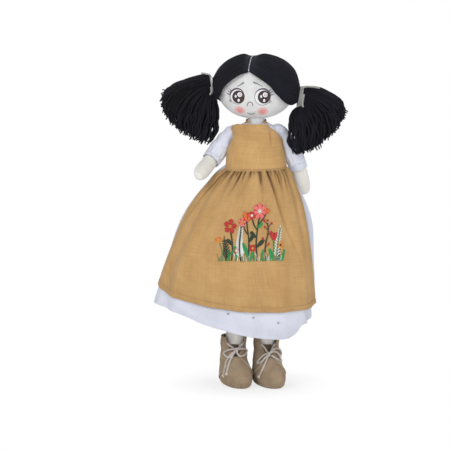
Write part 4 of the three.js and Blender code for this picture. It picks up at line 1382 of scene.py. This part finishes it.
# Heights of the hems as [degrees, height], from the back round by the doll's right side and its front
DRESS_HEM = [
    [-180, 65.4], [-165, 70], [-150, 77], [-135, 85], [-120, 92], [-105, 97], [-75, 98], [-60, 94.5],
    [-45, 90.5], [-30, 82], [-15, 74.6], [0, 67.8], [15, 62.8], [24, 60.6], [32, 60], [41, 61], [47, 63.5],
    [51, 67.5], [54, 73], [57, 75.4], [64, 76], [76, 76.5], [85, 79], [93, 83], [105, 78], [120, 71],
    [135, 67.5], [150, 64.6], [165, 63.6], [180, 65.4],
]
APRON_HEM = [
    [-90, 127], [-82, 122.5], [-76, 119], [-70, 115.8], [-62, 112.6], [-52, 109.6], [-45, 107.3],
    [-35, 104.2], [-25, 101.3], [-15, 98.4], [0, 95.2], [15, 93], [30, 92], [45, 92.3], [60, 93.4],
    [70, 94.4], [78, 95.8], [84, 98.2], [90, 101],
]


def dress_hem(turn):
    return station(DRESS_HEM, math.degrees(turn))[0]


def apron_hem(turn):
    return station(APRON_HEM, math.degrees(turn))[0]


def even_rows(v):
    """Rows drawn closer together at the waist and at the hem."""
    return mix(v, 0.5 - 0.5 * math.cos(math.pi * v), 0.6)


def make_dress_skirt():
    def place(u, v):
        turn = 2 * math.pi * (u - 0.5)
        z = mix(dress_hem(turn), WAIST - 0.2, even_rows(v))
        drop = WAIST - z
        gathers = 0.8 * math.sin(41 * turn + 2 * math.sin(5 * turn)) * math.exp(-drop / 16) * smooth(drop / 3)
        behind = smooth((abs(turn) - PUFF_TURN) / 0.2)
        covered = (1 - behind) * (1 - smooth((drop - 80) / 60))
        edge = 0.5 * bell(z - dress_hem(turn), 3) * (0.3 + 0.7 * behind)
        drape = 1.5 * math.sin(9 * turn + 0.6 * math.sin(drop * 0.03)) + 0.9 * math.sin(17 * turn + 1)
        drape *= smooth((abs(turn) - 1.8) / 0.4) * smooth(drop / 30)
        # Low down it hangs further out on the doll's right and further in on its left
        hung = 2.4 * smooth((-turn - 0.9) / 0.5) - 4.2 * smooth((turn - 0.9) / 0.5)
        hung *= smooth((drop - 135) / 35)
        # It is fuller before and behind the doll's left leg, so that the leg can swing
        hung += 4.5 * bell(turn - 0.5, 0.4) * smooth((drop - 165) / 30)
        hung += 6.0 * bell(turn - 2.65, 0.45) * smooth((drop - 90) / 60)
        return skirt_point(turn, z, gathers * behind - 4.8 * covered + edge + drape + hung)
    return sewn("dress_skirt_cloth", 330, 88, place, (480, 215), DRESS_THICK,
                dress_cotton, "dress_cotton", SKIRT_BEND, "dress_skirt", wrap=True)


dress_skirt = make_dress_skirt()
dress_surface = surface_of(dress_skirt)
declare_cloth(dress_skirt, 480, 200, "gathered", "bodice_cloth", area=72000)


# Apron

APRON_GROW = 2.4
# How far round the apron's two edges lie, as [height, degrees]
APRON_EDGES = {
    "right": [[94, 77], [120, 80], [145, 86], [172, 88], [209, 89], [235, 86], [263, 86]],
    "left": [[94, 84], [140, 79], [178, 74], [209, 75], [238, 78], [263, 82]],
}
SLIT_SPREAD = math.radians(76)
SLITS = 23
slit_luck = random.Random(5)
slits = [
    {
        "turn": mix(-SLIT_SPREAD, SLIT_SPREAD, (k + slit_luck.uniform(0.25, 0.75)) / SLITS),
        "long": slit_luck.uniform(6, 17),
        "deep": slit_luck.uniform(3.0, 6.0),
        "wide": math.radians(slit_luck.uniform(1.1, 1.8)),
    }
    for k in range(SLITS)
]
# The longer creases, as degrees at the waist, degrees at the end, length, depth and half width in degrees
CREASES = [
    (2, 9, 30, 6.5, 1.7), (14, 47, 90, 7.5, 1.9), (46, 47, 26, 5.5, 1.7), (30, 36, 24, 5.0, 1.5),
    (-21, -25, 30, 5.5, 1.7), (-50, -51, 20, 5.0, 1.8), (-62, -74, 55, 6.5, 2.2), (-38, -47, 190, 3.2, 5.0),
    (57, 65, 190, 3.2, 4.5), (-6, -16, 70, 2.8, 3.6), (-56, -66, 150, 2.0, 4.0), (36, 44, 190, 1.6, 5.0),
]
DEEPEST = 6.5                # no crease goes deeper than this


def apron_creases(turn, drop):
    start = smooth(drop / 2.2)
    depth = 0
    for slit in slits:
        depth += slit["deep"] * bell(turn - slit["turn"], slit["wide"]) * bell(drop, slit["long"])
    for first, last, length, deep, wide in CREASES:
        share = drop / length
        if share < 1.6:
            line = math.radians(mix(first, last, min(1.3, share)))
            depth += deep * bell(turn - line, math.radians(wide)) * (1 - smooth(share / 1.6))
    return -start * DEEPEST * math.tanh(depth / DEEPEST)


def apron_turn(u, v):
    """How far round a place on the apron's skirt lies: its edges draw in between the waist and the hem."""
    high = mix(apron_hem(mix(-APRON_TURN, APRON_TURN, u)), WAIST, v)
    right, left = (math.radians(station(APRON_EDGES[side], high)[0]) for side in ("right", "left"))
    return mix(-right, left, u)


def make_apron_skirt():
    tucked = 1.2             # how far its top reaches up behind the bib
    gathers = []             # how deep in a gather each point lies, for the painted shade in the cloth's colour

    def place(u, v):
        row = even_rows(v)
        turn = apron_turn(u, row)
        hem = apron_hem(turn)
        z = mix(hem, WAIST + tucked, row)
        drop = WAIST - z
        above = z - hem
        rolled = 0.5 * (1 - smooth((above - 4.6) / 1.6)) - 0.25 * bell(above - 5.8, 0.9)
        side_roll = 0.5 * smooth((abs(u - 0.5) - 0.488) / 0.004)
        full = mix(1.6, APRON_GROW + 0.5, smooth((drop + 1) / 4)) + 1.3 * bell(drop - 7, 6)
        creases = apron_creases(turn, drop)
        # Painted shade: deep creases near the waist get a darker colour
        gathers.append(smooth((-creases - 1.2) / 3.6) * bell(drop, 26))
        point = skirt_point(turn, z, full + creases + rolled + side_roll)
        point.z -= waist_sag(turn) * (1 - smooth(drop / 40))
        return point
    piece = cloth_grid("apron_skirt_cloth", 300, 160, place, (300, 178))
    piece.data.attributes.new("gather_shade", "FLOAT", "POINT").data.foreach_set("value", gathers)
    thicken(piece, LINEN_THICK)
    return finish_piece(piece, apron_linen, "apron_linen", SKIRT_BEND, "apron_skirt")


apron_skirt = make_apron_skirt()
apron_surface = surface_of(apron_skirt)
declare_cloth(apron_skirt, 250, 172, "gathered", "dress_skirt_cloth", area=31600)

BIB_TOP = NECK_BASE - 0.6
BIB_SPREAD = {                # how far round its two edges lie, as [height, degrees]
    "right": [[263.2, 86], [278, 85], [288, 71], [296, 58], [300, 63], [304, 78], [309, 84], [312.9, 80]],
    "left": [[263.2, 82], [273, 86], [289, 84], [299, 60], [307, 44], [312.9, 41]],
}


def make_bib():
    def place(u, v):
        z = mix(WAIST + 0.2, BIB_TOP, v)
        right, left = (math.radians(station(BIB_SPREAD[side], z)[0]) for side in ("right", "left"))
        turn = mix(-right, left, u)
        point = torso_point(turn, z, BIB_GROW)
        crease = 2.2 * bell(point.x - BODY_X - 17.4, 1.4) * smooth((z - 284) / 8)
        slack = 0.5 * math.sin(point.x * 0.23 + 1) * bell(z - 272, 9)
        slack += 0.35 * math.sin(point.x * 0.5 + z * 0.12)
        edge = 0.4 * (bell(u, 0.025) + bell(u - 1, 0.025) + bell(v - 1, 0.03))
        seam = -0.9 * bell(v, 0.02)
        loose = 1.2 * bell(z - 286, 14)
        point = torso_point(turn, z, BIB_GROW + loose - crease + slack * 0.6 + edge + seam)
        corner = smooth((-turn - 0.45) / 0.6) * smooth((z - 302) / 9)
        point.x -= 7.5 * corner      # it stands out over the start of the doll's right sleeve
        point.z -= waist_sag(turn) * (1 - smooth(v * 2.5)) + 1.5 * smooth((-turn - 1.0) / 0.4) * corner
        return point
    return sewn("apron_bib_cloth", 90, 70, place, (75, 52), LINEN_THICK,
                apron_linen, "apron_linen", "torso", "apron_bib")


def make_back_band():
    def place(u, v):
        turn = math.radians(mix(82, 278, u))
        z = mix(WAIST + 0.2, WAIST + 10.2, v)
        edges = 0.35 * (bell(v, 0.12) + bell(v - 1, 0.12)) - 0.5 * bell(v, 0.06)
        point = torso_point(turn, z, BIB_GROW + edges)
        point.z -= waist_sag(turn)
        return point
    piece = sewn("apron_back_band_cloth", 90, 16, place, (110, 10), LINEN_THICK,
                 apron_linen, "apron_linen", "torso", "apron_back_band")
    declare_cloth(piece, 112, 11, "stretched", "bodice_cloth", area=1170)


def make_neck_strap():
    end = 146                # degrees round from the nape to where it meets the bib

    def place(u, v):
        turn = mix(-end, end, u)
        lift = smooth((end - abs(turn)) / 60)
        spread = NECK_RADIUS + 1.7 + 2.0 * (1 - lift) - 0.7 * v
        z = BIB_TOP - 2.6 * (1 - lift) + 0.6 + 4.0 * v
        angle = math.radians(turn)
        return Vector((BODY_X + spread * math.sin(angle), spread * math.cos(angle), z))
    piece = cloth_grid("apron_neck_strap_cloth", 72, 8, place, (75, 5))
    edit(piece, bpy.ops.mesh.flip_normals)
    thicken(piece, STRAP_THICK)
    return finish_piece(piece, apron_linen, "apron_linen", "torso", "apron_neck_strap")


declare_cloth(make_bib(), 86, 52, "draped", "bodice_cloth", area=4200, with_pieces=[make_neck_strap()])
make_back_band()


SKIRT_FRONT = -45            # about where the skirts' front lies


def stitch(start, end, rise):
    """One stitch's path: it dives into the cloth at both ends."""
    middle = (start + end) / 2
    return [start, start.lerp(middle, 0.4) + rise, end.lerp(middle, 0.4) + rise, end]


def make_apron_topstitch():
    """Running stitches above the apron's turned hem, each covering part of its step."""
    count, long, radius = 110, 0.62, 0.26

    def hem(share):
        turn = apron_turn(mix(0.01, 0.99, share), 0.03)
        z = apron_hem(turn) + 5.8
        return skirt_point(turn, z, APRON_GROW + 0.4 + apron_creases(turn, WAIST - z))
    out = Vector((0, -1, 0)) * radius * 0.5
    paths = [stitch(hem(k / count), hem((k + long) / count), out) for k in range(count)]
    finish_piece(strands("apron_hem_stitches", paths, radius, 6), hem_thread, "apron_linen", SKIRT_BEND)


make_apron_topstitch()


def make_dress_knots():
    """Three tiny grey knots above the dress hem."""
    grey = thread_look("grey thread", colour(158, 160, 168))
    paths = []
    for x, z in ((-26, 91.3), (3.6, 87.0), (33, 80.0)):
        here = in_front(dress_surface, x, z, 0.2, SKIRT_FRONT)
        ring = [here + Vector((1.0 * math.cos(t), -0.3, 0.7 * math.sin(t))) for t in
                (2 * math.pi * k / 8 for k in range(9))]
        paths.append(ring)
    piece = strands("dress_knots", paths, 0.4, 6)
    finish_piece(piece, grey, "dress_cotton", SKIRT_BEND)


make_dress_knots()


# Embroidery: a common meadow of tulips, five-petal flowers, sprigs and grass, sewn stitch by stitch

FLOSS = {
    "red": colour(200, 48, 42), "deep red": colour(158, 34, 34), "orange": colour(226, 118, 52),
    "pink": colour(238, 128, 120), "white": colour(232, 238, 234), "dark green": colour(38, 50, 26),
    "green": colour(38, 146, 78), "sage": colour(118, 140, 92), "gold": colour(214, 158, 62),
    "brown": colour(84, 58, 28),
}
floss_stitches = {tone: [] for tone in FLOSS}
FLOSS_RADIUS = 0.5
MEADOW_WIDE = 0.88           # the design is drawn in from side to side by this much


def sew(tone, start, end, pad=0.0):
    """A stitch between two (x, z) places on the apron; pad lifts it over those already sewn."""
    a, b = (in_front(apron_surface, x * MEADOW_WIDE, z, 0.05 + pad, SKIRT_FRONT) for x, z in (start, end))
    floss_stitches[tone].append(stitch(a, b, Vector((0, -0.3, 0))))


def turned(x, z, angle, length):
    """The place at a length from (x, z); angle is in degrees, 0 up and 90 to the doll's left."""
    angle = math.radians(angle)
    return (x + length * math.sin(angle), z + length * math.cos(angle))


def sew_stem(tone, points, pad=0.0):
    """A stem in stem stitch, two threads wide."""
    stitch_long = 2.6
    points = [Vector((x, 0, z)) for x, z in points]
    line = curve_points(points, max(4, int(path_length(points) / stitch_long)))
    for a, b in zip(line, line[1:]):
        for aside in (-0.45, 0.45):
            sew(tone, (a.x + aside, a.z), (b.x + aside, b.z), pad)
    return [(p.x, p.z) for p in line]


def sew_leaf(tone, root, angle, length, width):
    """Satin stitches that slant from the leaf's middle vein to its edge."""
    count = max(4, int(length / 0.75))
    for k in range(count):
        share = (k + 0.5) / count
        vein = turned(*root, angle, length * share * 0.82)
        reach = width * math.sin(math.pi * min(1, share * 0.92 + 0.06)) ** 0.8 + 0.4
        for way in (-1, 1):
            tip = turned(*vein, angle + way * 38, reach)
            sew(tone, vein, tip, 0.1)


def sew_sprig(tone, points, length, tone_stem, pairs):
    """A feathery sprig: slanting stitches in pairs up a stem, bare at its foot."""
    bare = 0.12
    line = sew_stem(tone_stem, points, pad=0.3)
    spine = [Vector((x, 0, z)) for x, z in line]
    for k in range(pairs):
        share = bare + (0.98 - bare) * k / pairs
        here = curve_point(spine, share)
        ahead = curve_point(spine, min(1, share + 0.05)) - curve_point(spine, share - 0.05)
        angle = math.degrees(math.atan2(ahead.x, ahead.z))
        reach = length * (1 - 0.55 * k / pairs)
        for way in (-1, 1):
            for twin in (0, 7):
                sew(tone, (here.x, here.z), turned(here.x, here.z, angle + way * (46 - twin), reach), 0.08)
    top = spine[-1]
    sew(tone, (top.x, top.z), (top.x + 0.3, top.z + length * 0.5))


def sew_petal(tone, edge, root, angle, length, width):
    """A petal of straight stitches fanned from its root, with two darker ones at its sides."""
    for k in range(7):
        spread = (k - 3) / 3
        start = turned(*root, angle + 90, spread * width * 0.18)
        along = turned(*root, angle, length * (1 - 0.28 * spread * spread))
        end = turned(*along, angle + 90, spread * width * 0.5)
        sew(edge if abs(spread) > 0.9 else tone, start, end, 0.12)


def sew_blossom(tone, edge, heart, x, z, length, petals, start):
    """An open flower: petals fanned from start, in degrees, round a crossed heart."""
    for k in range(petals):
        angle = start + 360 * k / petals
        sew_petal(tone, edge, turned(x, z, angle, length * 0.22), angle, length * 0.8, length * 0.7)
    for k in range(6):
        sew(heart, turned(x, z, 60 * k, length * 0.3), turned(x, z, 60 * k + 150, length * 0.12), 0.5)


def sew_tulip(tone, edge, x, z, angle, length):
    for way in (-1, 1):
        sew_petal(tone, edge, (x, z), angle + way * 24, length, length * 0.52)
    sew_petal(edge, tone, (x, z), angle, length * 0.86, length * 0.4)


def sew_grass(tone, x, z, blades, height, spread):
    for k in range(blades):
        lean = mix(-spread, spread, k / max(1, blades - 1))
        foot = (x + lean * 0.12, z)
        tall = height * (0.7 + 0.3 * math.cos(k * 2.3))
        middle = turned(*foot, lean * 0.5, tall * 0.5)
        sew(tone, foot, middle)
        sew(tone, middle, turned(*middle, lean, tall * 0.5))


def sew_berries(tone, places):
    for x, z in places:
        for k in range(4):
            sew(tone, turned(x, z, 45 * k, 1.3), turned(x, z, 45 * k + 180, 1.3), 0.15 + 0.1 * k)


def embroider():
    ground = 154
    # A low orange bell and a fern on the doll's right
    sew_stem("sage", [(-37, ground), (-38, ground + 12), (-41, ground + 21)])
    sew_tulip("orange", "gold", -41.2, ground + 20.5, -22, 7.5)
    sew_sprig("dark green", [(-33, ground), (-32, ground + 12), (-35, ground + 25)], 7.5, "dark green", 7)
    # A tall red five-petal flower
    sew_stem("dark green", [(-25, ground), (-24, ground + 18), (-26.5, ground + 36)])
    sew_leaf("green", (-24.4, ground + 8), 34, 13, 3.2)
    sew_leaf("dark green", (-24.3, ground + 18), -44, 11, 3.0)
    sew_blossom("red", "deep red", "gold", -27, ground + 40, 8.6, 5, 12)
    # A white feather sprig, then an orange tulip with broad leaves
    sew_sprig("white", [(-13, ground), (-14.5, ground + 18), (-12, ground + 40)], 8.5, "dark green", 13)
    sew_stem("dark green", [(-3, ground), (-2, ground + 22), (-5, ground + 46)])
    sew_leaf("green", (-2.6, ground + 4), -24, 22, 3.6)
    sew_leaf("dark green", (-2.2, ground + 22), 38, 13, 3.2)
    sew_stem("brown", [(-2.6, ground + 30), (-6, ground + 34), (-10, ground + 42)])
    sew_blossom("pink", "red", "gold", -11, ground + 45, 5.2, 5, 10)
    sew_tulip("orange", "red", -4.6, ground + 46, 8, 12)
    # The tallest: a pink and white blossom over paired leaves, with a bud beside it
    sew_stem("dark green", [(9, ground), (8, ground + 24), (12, ground + 52)])
    sew_leaf("dark green", (8.2, ground + 16), 50, 14, 3.4)
    sew_leaf("dark green", (8.0, ground + 27), -48, 12, 3.2)
    sew_leaf("green", (9.6, ground + 38), 44, 10, 2.8)
    sew_stem("dark green", [(9.4, ground + 36), (5, ground + 42), (2.4, ground + 50)])
    sew_blossom("red", "deep red", "white", 2.2, ground + 53, 5.0, 5, 36)
    sew_blossom("pink", "red", "white", 12.6, ground + 58, 9.6, 7, 0)
    sew_stem("dark green", [(10.4, ground + 42), (18, ground + 50), (21, ground + 56)])
    sew_tulip("orange", "red", 21, ground + 55, 18, 7)
    # Berries on a forked twig
    twig = sew_stem("brown", [(21, ground), (20, ground + 16), (24, ground + 34), (23, ground + 44)])
    for (x, z), way in zip(twig[5::2], (1, -1, 1, -1, 1, -1)):
        tip = turned(x, z, way * 46, 6.5)
        sew("brown", (x, z), tip)
        sew_berries("red", [tip])
    sew_berries("red", [(23, ground + 47)])
    # A short red tulip, a small gold flower and a white sprig on the doll's left
    sew_stem("green", [(30, ground), (31.5, ground + 12), (31, ground + 24)])
    sew_leaf("green", (30.6, ground + 2), -24, 15, 3.0)
    sew_tulip("red", "deep red", 31, ground + 24, 6, 10)
    sew_stem("dark green", [(37, ground), (38.5, ground + 8), (40, ground + 15)])
    sew_blossom("gold", "orange", "brown", 40.4, ground + 18, 5.0, 5, 20)
    sew_sprig("white", [(34.5, ground), (37, ground + 20), (40, ground + 38)], 6.4, "sage", 10)
    # Broad blades and grass along the ground, and small flowers low down
    blades = (-28, -8, 15), (-20, 10, 19), (0, 12, 14), (5, -9, 20), (14, 14, 17), (27, 6, 13), (43, 10, 16)
    for x, lean, tall in blades:
        sew_leaf("green", (x, ground - 0.5), lean, tall, 1.5)
    for k, x in enumerate((-40, -31, -9, 19, 34, 41)):
        sew_grass("green" if k % 2 else "sage", x, ground - 0.5, 4, 9 + 2 * (k % 3), 20)
    for k, x in enumerate((-17, -6, 12, 25, 38)):
        sew_grass("white", x, ground, 3, 10, 22)
    sew_blossom("red", "deep red", "gold", 3, ground + 15, 4.6, 5, 30)
    sew_blossom("red", "deep red", "white", -18.6, ground + 12, 4.2, 5, 0)
    for tone, paths in floss_stitches.items():
        piece = strands(f"embroidery_{tone.replace(' ', '_')}", paths, FLOSS_RADIUS, 6)
        finish_piece(piece, thread_look(f"floss {tone}", FLOSS[tone]), "apron_linen", SKIRT_BEND)


embroider()


# Legs and boots

LEG_RADIUS = 10.3
ANKLE_X = 19.7
FOOT_HEIGHT = 10.7
LEG_FORM = [                 # height, share of the leg's radius
    [FOOT_HEIGHT - 5, 0.3], [FOOT_HEIGHT, 0.8], [28, 0.95], [45, 1.22], [62, 1.25], [88, 1.02], [136, 0.98],
    [186, 1.03], [222, 1.0], [229, 0.95], [233.2, 0.71], [235.3, 0.43], [236.2, 0.14],
]


def make_leg(side):
    sign = side_sign(side)
    hip_x, ankle = BODY_X + sign * 12.5, sign * ANKLE_X
    low, high = LEG_FORM[0][0], LEG_FORM[-1][0]

    def place(u, v):
        z = mix(low, high, (v - 0.02) / 0.96)
        z = min(high, max(low, z))
        down = min(1, max(0, (HIP - z) / (HIP - FOOT_HEIGHT)))
        radius = LEG_RADIUS * station(LEG_FORM, z)[0] - 0.6
        if v in (0, 1):
            radius = 0
        turn = 2 * math.pi * u
        return Vector((mix(hip_x, ankle, down) + radius * math.sin(turn), -radius * math.cos(turn), z))
    piece = plump(closed_form(f"leg_{side}_cloth", 30, 70, place, (65, 230)), voxel=2.6, cap=0.8)
    stuff(piece, f"leg_{side}", limb_skin_lit)


BOOT_TOP = 58
THROAT = 36
SOLE = 3
BOOT_ROUND = 2.2
BOOT_FORM = [                # height, half width, reach to the toe, reach to the heel
    [0.8, 16.0, 39.2, 13.6], [3.4, 17.6, 41.6, 15.2], [8, 18.8, 44, 16.5], [14, 19.2, 44, 16.5],
    [21, 18.2, 39.6, 16.5], [27, 16.9, 32.6, 16.5], [32, 15.7, 24.6, 16], [36, 16, 19, 15.7],
    [43, 15.2, 15.7, 15.2], [58, 15.2, 15.2, 15.2],
]
# Where the vamp ends and the quarter starts, as [height, degrees round from the toe]
VAMP_EDGE = [[3.4, 100], [10, 86], [18, 66], [26, 44], [32, 25], [36, 9]]
THROAT_EDGE = [[36, 2.6], [46, 6.6], [58, 11.0]]      # height, half width of the opening
TOE_LEAN = 9.2               # both toes point a little to the doll's left


def toe_lean(y, z):
    return TOE_LEAN * max(0, -y / 44) ** 1.3 + 2 * (1 - smooth((z - 8) / 30))


def boot_point(ankle, turn, z, grow):
    half_width, toe, heel = station(BOOT_FORM, z)
    power = 2 / BOOT_ROUND
    reach = toe if math.cos(turn) > 0 else heel
    y = -(reach + grow) * signed_power(math.cos(turn), power)
    return Vector((ankle + (half_width + grow) * signed_power(math.sin(turn), power) + toe_lean(y, z), y, z))


def edge_turn(z):
    """How far round the quarter's front edge lies, at a height."""
    if z <= THROAT:
        return math.radians(station(VAMP_EDGE, z)[0])
    half_width = station(BOOT_FORM, z)[0]
    opening = station(THROAT_EDGE, z)[0]
    return math.asin(min(1, (opening / half_width)) ** (BOOT_ROUND / 2))


def make_boot(side):
    ankle = side_sign(side) * ANKLE_X
    body = f"leg_{side}"

    def felt(part, columns, rows, place, size, thick=FELT_THICK, look=boot_felt):
        name = f"boot_{side}_{part}"
        sewn(f"{name}_felt", columns, rows, place, size, thick, look, "boot_felt", body, name)

    def vamp(u, v):
        z = mix(0.8, THROAT, 1 - (1 - v) ** 1.15)
        edge = edge_turn(z) - 0.015
        turn = mix(-edge, edge, u)
        worn = 0.35 * math.sin(turn * 7 + z * 0.25) * bell(z - 27, 7)
        return boot_point(ankle, turn, z, 0.15 + worn * 0.5)
    felt("vamp", 60, 34, vamp, (60, 40))

    def quarter(u, v):
        z = mix(0.8, BOOT_TOP, v)
        edge = edge_turn(z)
        turn = mix(edge, 2 * math.pi - edge, u)
        front = max(bell(u, 0.09), bell(u - 1, 0.09))
        flap = 1.3 * front * smooth((z - THROAT) / 12) + 0.8 * max(bell(u, 0.04), bell(u - 1, 0.04))
        slump = 0.5 * math.sin(z * 0.33 + 2 * math.sin(turn)) * smooth((z - 14) / 16)
        return boot_point(ankle, turn, z, slump + flap)
    felt("quarter", 96, 50, quarter, (90, 55))

    def tongue(u, v):
        z = mix(THROAT - 4, BOOT_TOP - 9, v)
        half = mix(5.0, 8.5, v) * (1 - 0.35 * smooth((v - 0.75) / 0.25))
        x = mix(-half, half, u)
        depth = station(BOOT_FORM, z)[1] - 2.3
        return Vector((ankle + x, -depth * math.sqrt(max(0.1, 1 - (x / 15) ** 2)), z))
    felt("tongue", 20, 20, tongue, (14, 16), TONGUE_THICK, tongue_felt)

    sole_form = [            # share of the way up, height, how far its edge is drawn in
        [0, 0, 20], [0.02, 0, 1.2], [0.2, 0.6, 0.3], [0.5, 1.5, 0], [0.8, 2.6, 0.1], [0.98, SOLE, 0.6],
        [1, SOLE, 20],
    ]
    sole_middle = -12        # its middle lies in front of the ankle

    def sole(u, v):
        turn = 2 * math.pi * u
        z, inset = station(sole_form, v)
        power = 2 / 2.3
        wide, toe, heel = 15.4 - inset, 38.6 - inset, 13.0 - inset
        if v in (0, 1):
            return Vector((ankle, sole_middle, z))
        y = -(toe if math.cos(turn) > 0 else heel) * signed_power(math.cos(turn), power)
        return Vector((ankle + wide * signed_power(math.sin(turn), power) + toe_lean(y, z), y, z))
    piece = closed_form(f"boot_{side}_sole_felt", 72, 26, sole, (100, 60))
    finish_piece(piece, boot_felt, "boot_felt", body, f"boot_{side}_sole")

    def seam(way):
        heights = [mix(SOLE + 1, THROAT - 0.6, k / 29) for k in range(30)]
        return [boot_point(ankle, way * (edge_turn(z) - 0.02), z, 0.7) for z in heights]
    whip, whip_count, whip_end = [], 46, math.radians(150)
    for k in range(whip_count):
        turn = mix(-whip_end, whip_end, (k + 0.5) / whip_count)
        top, low = boot_point(ankle, turn, SOLE + 0.6, 0.1), boot_point(ankle, turn + 0.02, 1.0, 0)
        outwards = (top - Vector((ankle, sole_middle, top.z))).normalized()
        whip.append(stitch(low, top, outwards * 0.3))
    piece = strands(f"boot_{side}_seams", [seam(1), seam(-1)], 0.6, 6)
    finish_piece(piece, seam_thread, "boot_felt", body)
    piece = strands(f"boot_{side}_sole_stitches", whip, 0.28, 6)
    finish_piece(piece, seam_thread, "boot_felt", body)


LACE_RADIUS = 1.15


def lace_on_boot(ankle, x, z, lift):
    """A point for a lace's middle that lies on the front of the boot, x from the ankle's line."""
    half_width, toe, _ = station(BOOT_FORM, min(BOOT_TOP, max(5, z)))
    room = 0.1
    if abs(x) < half_width:
        room = max(0.02, 1 - abs(x / half_width) ** BOOT_ROUND) ** (1 / BOOT_ROUND)
    y = -toe * room - LACE_RADIUS - 0.4 - lift
    return Vector((ankle + x + toe_lean(y, z), y, z))


# Each lace piece is a route of (x, z, lift off the boot) from the ankle's line
LACES = {
    "right": {
        "knot": (0.4, 43.5),
        "bow": [
            [(0.4, 43.5, 1.5), (-5, 44.4, 3), (-11, 42.2, 3.5), (-13.8, 38.4, 3), (-9.6, 34.8, 3),
             (-4, 38.6, 3), (-1, 42.2, 2)],
            [(0.4, 43.5, 1.5), (5, 45, 3), (11, 44.2, 3.5), (14.4, 41.2, 3.5), (10, 37.4, 3),
             (3.6, 36.8, 3), (0.4, 41.4, 2)],
            [(-9.5, 50.5, 0.2), (-5, 47, 0.4), (0.4, 43.5, 1), (5.5, 47.5, 0.4), (9.5, 51, 0.2)],
        ],
        "ends": [
            [(-0.6, 42.8, 1.8), (-6.4, 38.6, 2.8), (-12, 31, 1.8), (-15.6, 22, 1.0), (-17.6, 12.6, 0.6)],
            [(-0.2, 42.6, 1.8), (-4.8, 37, 2.2), (-9.4, 30.5, 1.4), (-13.0, 23.4, 0.8), (-15.4, 16, 0.5)],
        ],
    },
    "left": {
        "knot": (-0.6, 38.8),
        "bow": [
            [(-0.6, 38.8, 1.5), (-6, 38.4, 3), (-11.5, 33.5, 3.4), (-15, 27.5, 2.4), (-11, 30.2, 3),
             (-5, 35.6, 3), (-1, 38, 2)],
            [(-0.6, 38.8, 1.5), (4.5, 41.6, 3), (9.8, 40.4, 3.4), (13.6, 34.2, 3), (14.2, 29.4, 2),
             (8.2, 33.6, 2.6), (2, 37.6, 2)],
            [(-8.5, 50, 0.2), (-4.5, 45, 0.3), (-0.6, 38.8, 1), (4, 44.5, 0.3), (7, 50, 0.2)],
        ],
        "ends": [
            [(0.2, 38.6, 1.8), (3, 43.5, 4.4), (9.0, 45.6, 5.2), (14.2, 42.6, 4.6), (17.0, 37.2, 3.2),
             (16.0, 34.6, 2.6)],
            [(-0.8, 38.0, 1.8), (-4.6, 33.2, 1.8), (-9.6, 26.4, 1.0), (-13.6, 19.4, 0.6), (-16.2, 12.6, 0.5)],
        ],
    },
}


def make_lace(side):
    ankle = side_sign(side) * ANKLE_X
    body = f"leg_{side}"
    plan = LACES[side]

    def route(points, count):
        return curve_points([lace_on_boot(ankle, *point) for point in points], count)
    bow = [route(points, 30) for points in plan["bow"]]
    knot = lace_on_boot(ankle, *plan["knot"], 2.2)
    wraps = [
        knot + Vector((1.3 * math.sin(t * 0.5), -1.2 * math.cos(t) - 0.3, 2.1 * math.sin(t)))
        for t in (math.pi * k / 6 for k in range(19))
    ]
    piece = strands(f"boot_{side}_lace_bow", [*bow, wraps], LACE_RADIUS, 8)
    finish_piece(piece, lace_cord, "cord", body, f"boot_{side}_lace")
    for k, points in enumerate(plan["ends"]):
        path = route(points, 24)
        piece = strands(f"boot_{side}_lace_end_{k + 1}", [path], LACE_RADIUS, 8)
        finish_piece(piece, lace_cord, "cord", body)
        ball = []
        for t in (math.pi * j / 6 for j in range(22)):
            across = 1.1 * math.cos(t) * math.cos(t * 0.4)
            ball.append(path[-1] + Vector((across, -math.sin(t * 0.7) - 0.4, 1.1 * math.sin(t))))
        knotted = strands(f"boot_{side}_lace_knot_{k + 1}", [ball], LACE_RADIUS * 0.8, 8)
        finish_piece(knotted, lace_cord, "cord", body)
        declare_lace_end(piece, path, knotted)


def declare_lace_end(piece, path, knot):
    """Tells the frame how long and thick a lace end is, where it leaves the boot and how it lies."""
    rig.cord(
        piece, exit=tuple(path[0] * MM), length=path_length(path) * MM, diameter=2 * LACE_RADIUS * MM,
        far_end="knot", stiffness="limp", lay="hanging", path=[tuple(p * MM) for p in path],
        with_pieces=[knot],
    )


for side in ("right", "left"):
    make_leg(side)
    make_boot(side)
    make_lace(side)


# Last: the boxes of the CAD model and of the dressed one

with open("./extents.json", "w") as size_file:
    json.dump({
        "cad": [list(corner) for corner in cad_box],
        "visual": [list(corner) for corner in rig.bounds()],
    }, size_file)
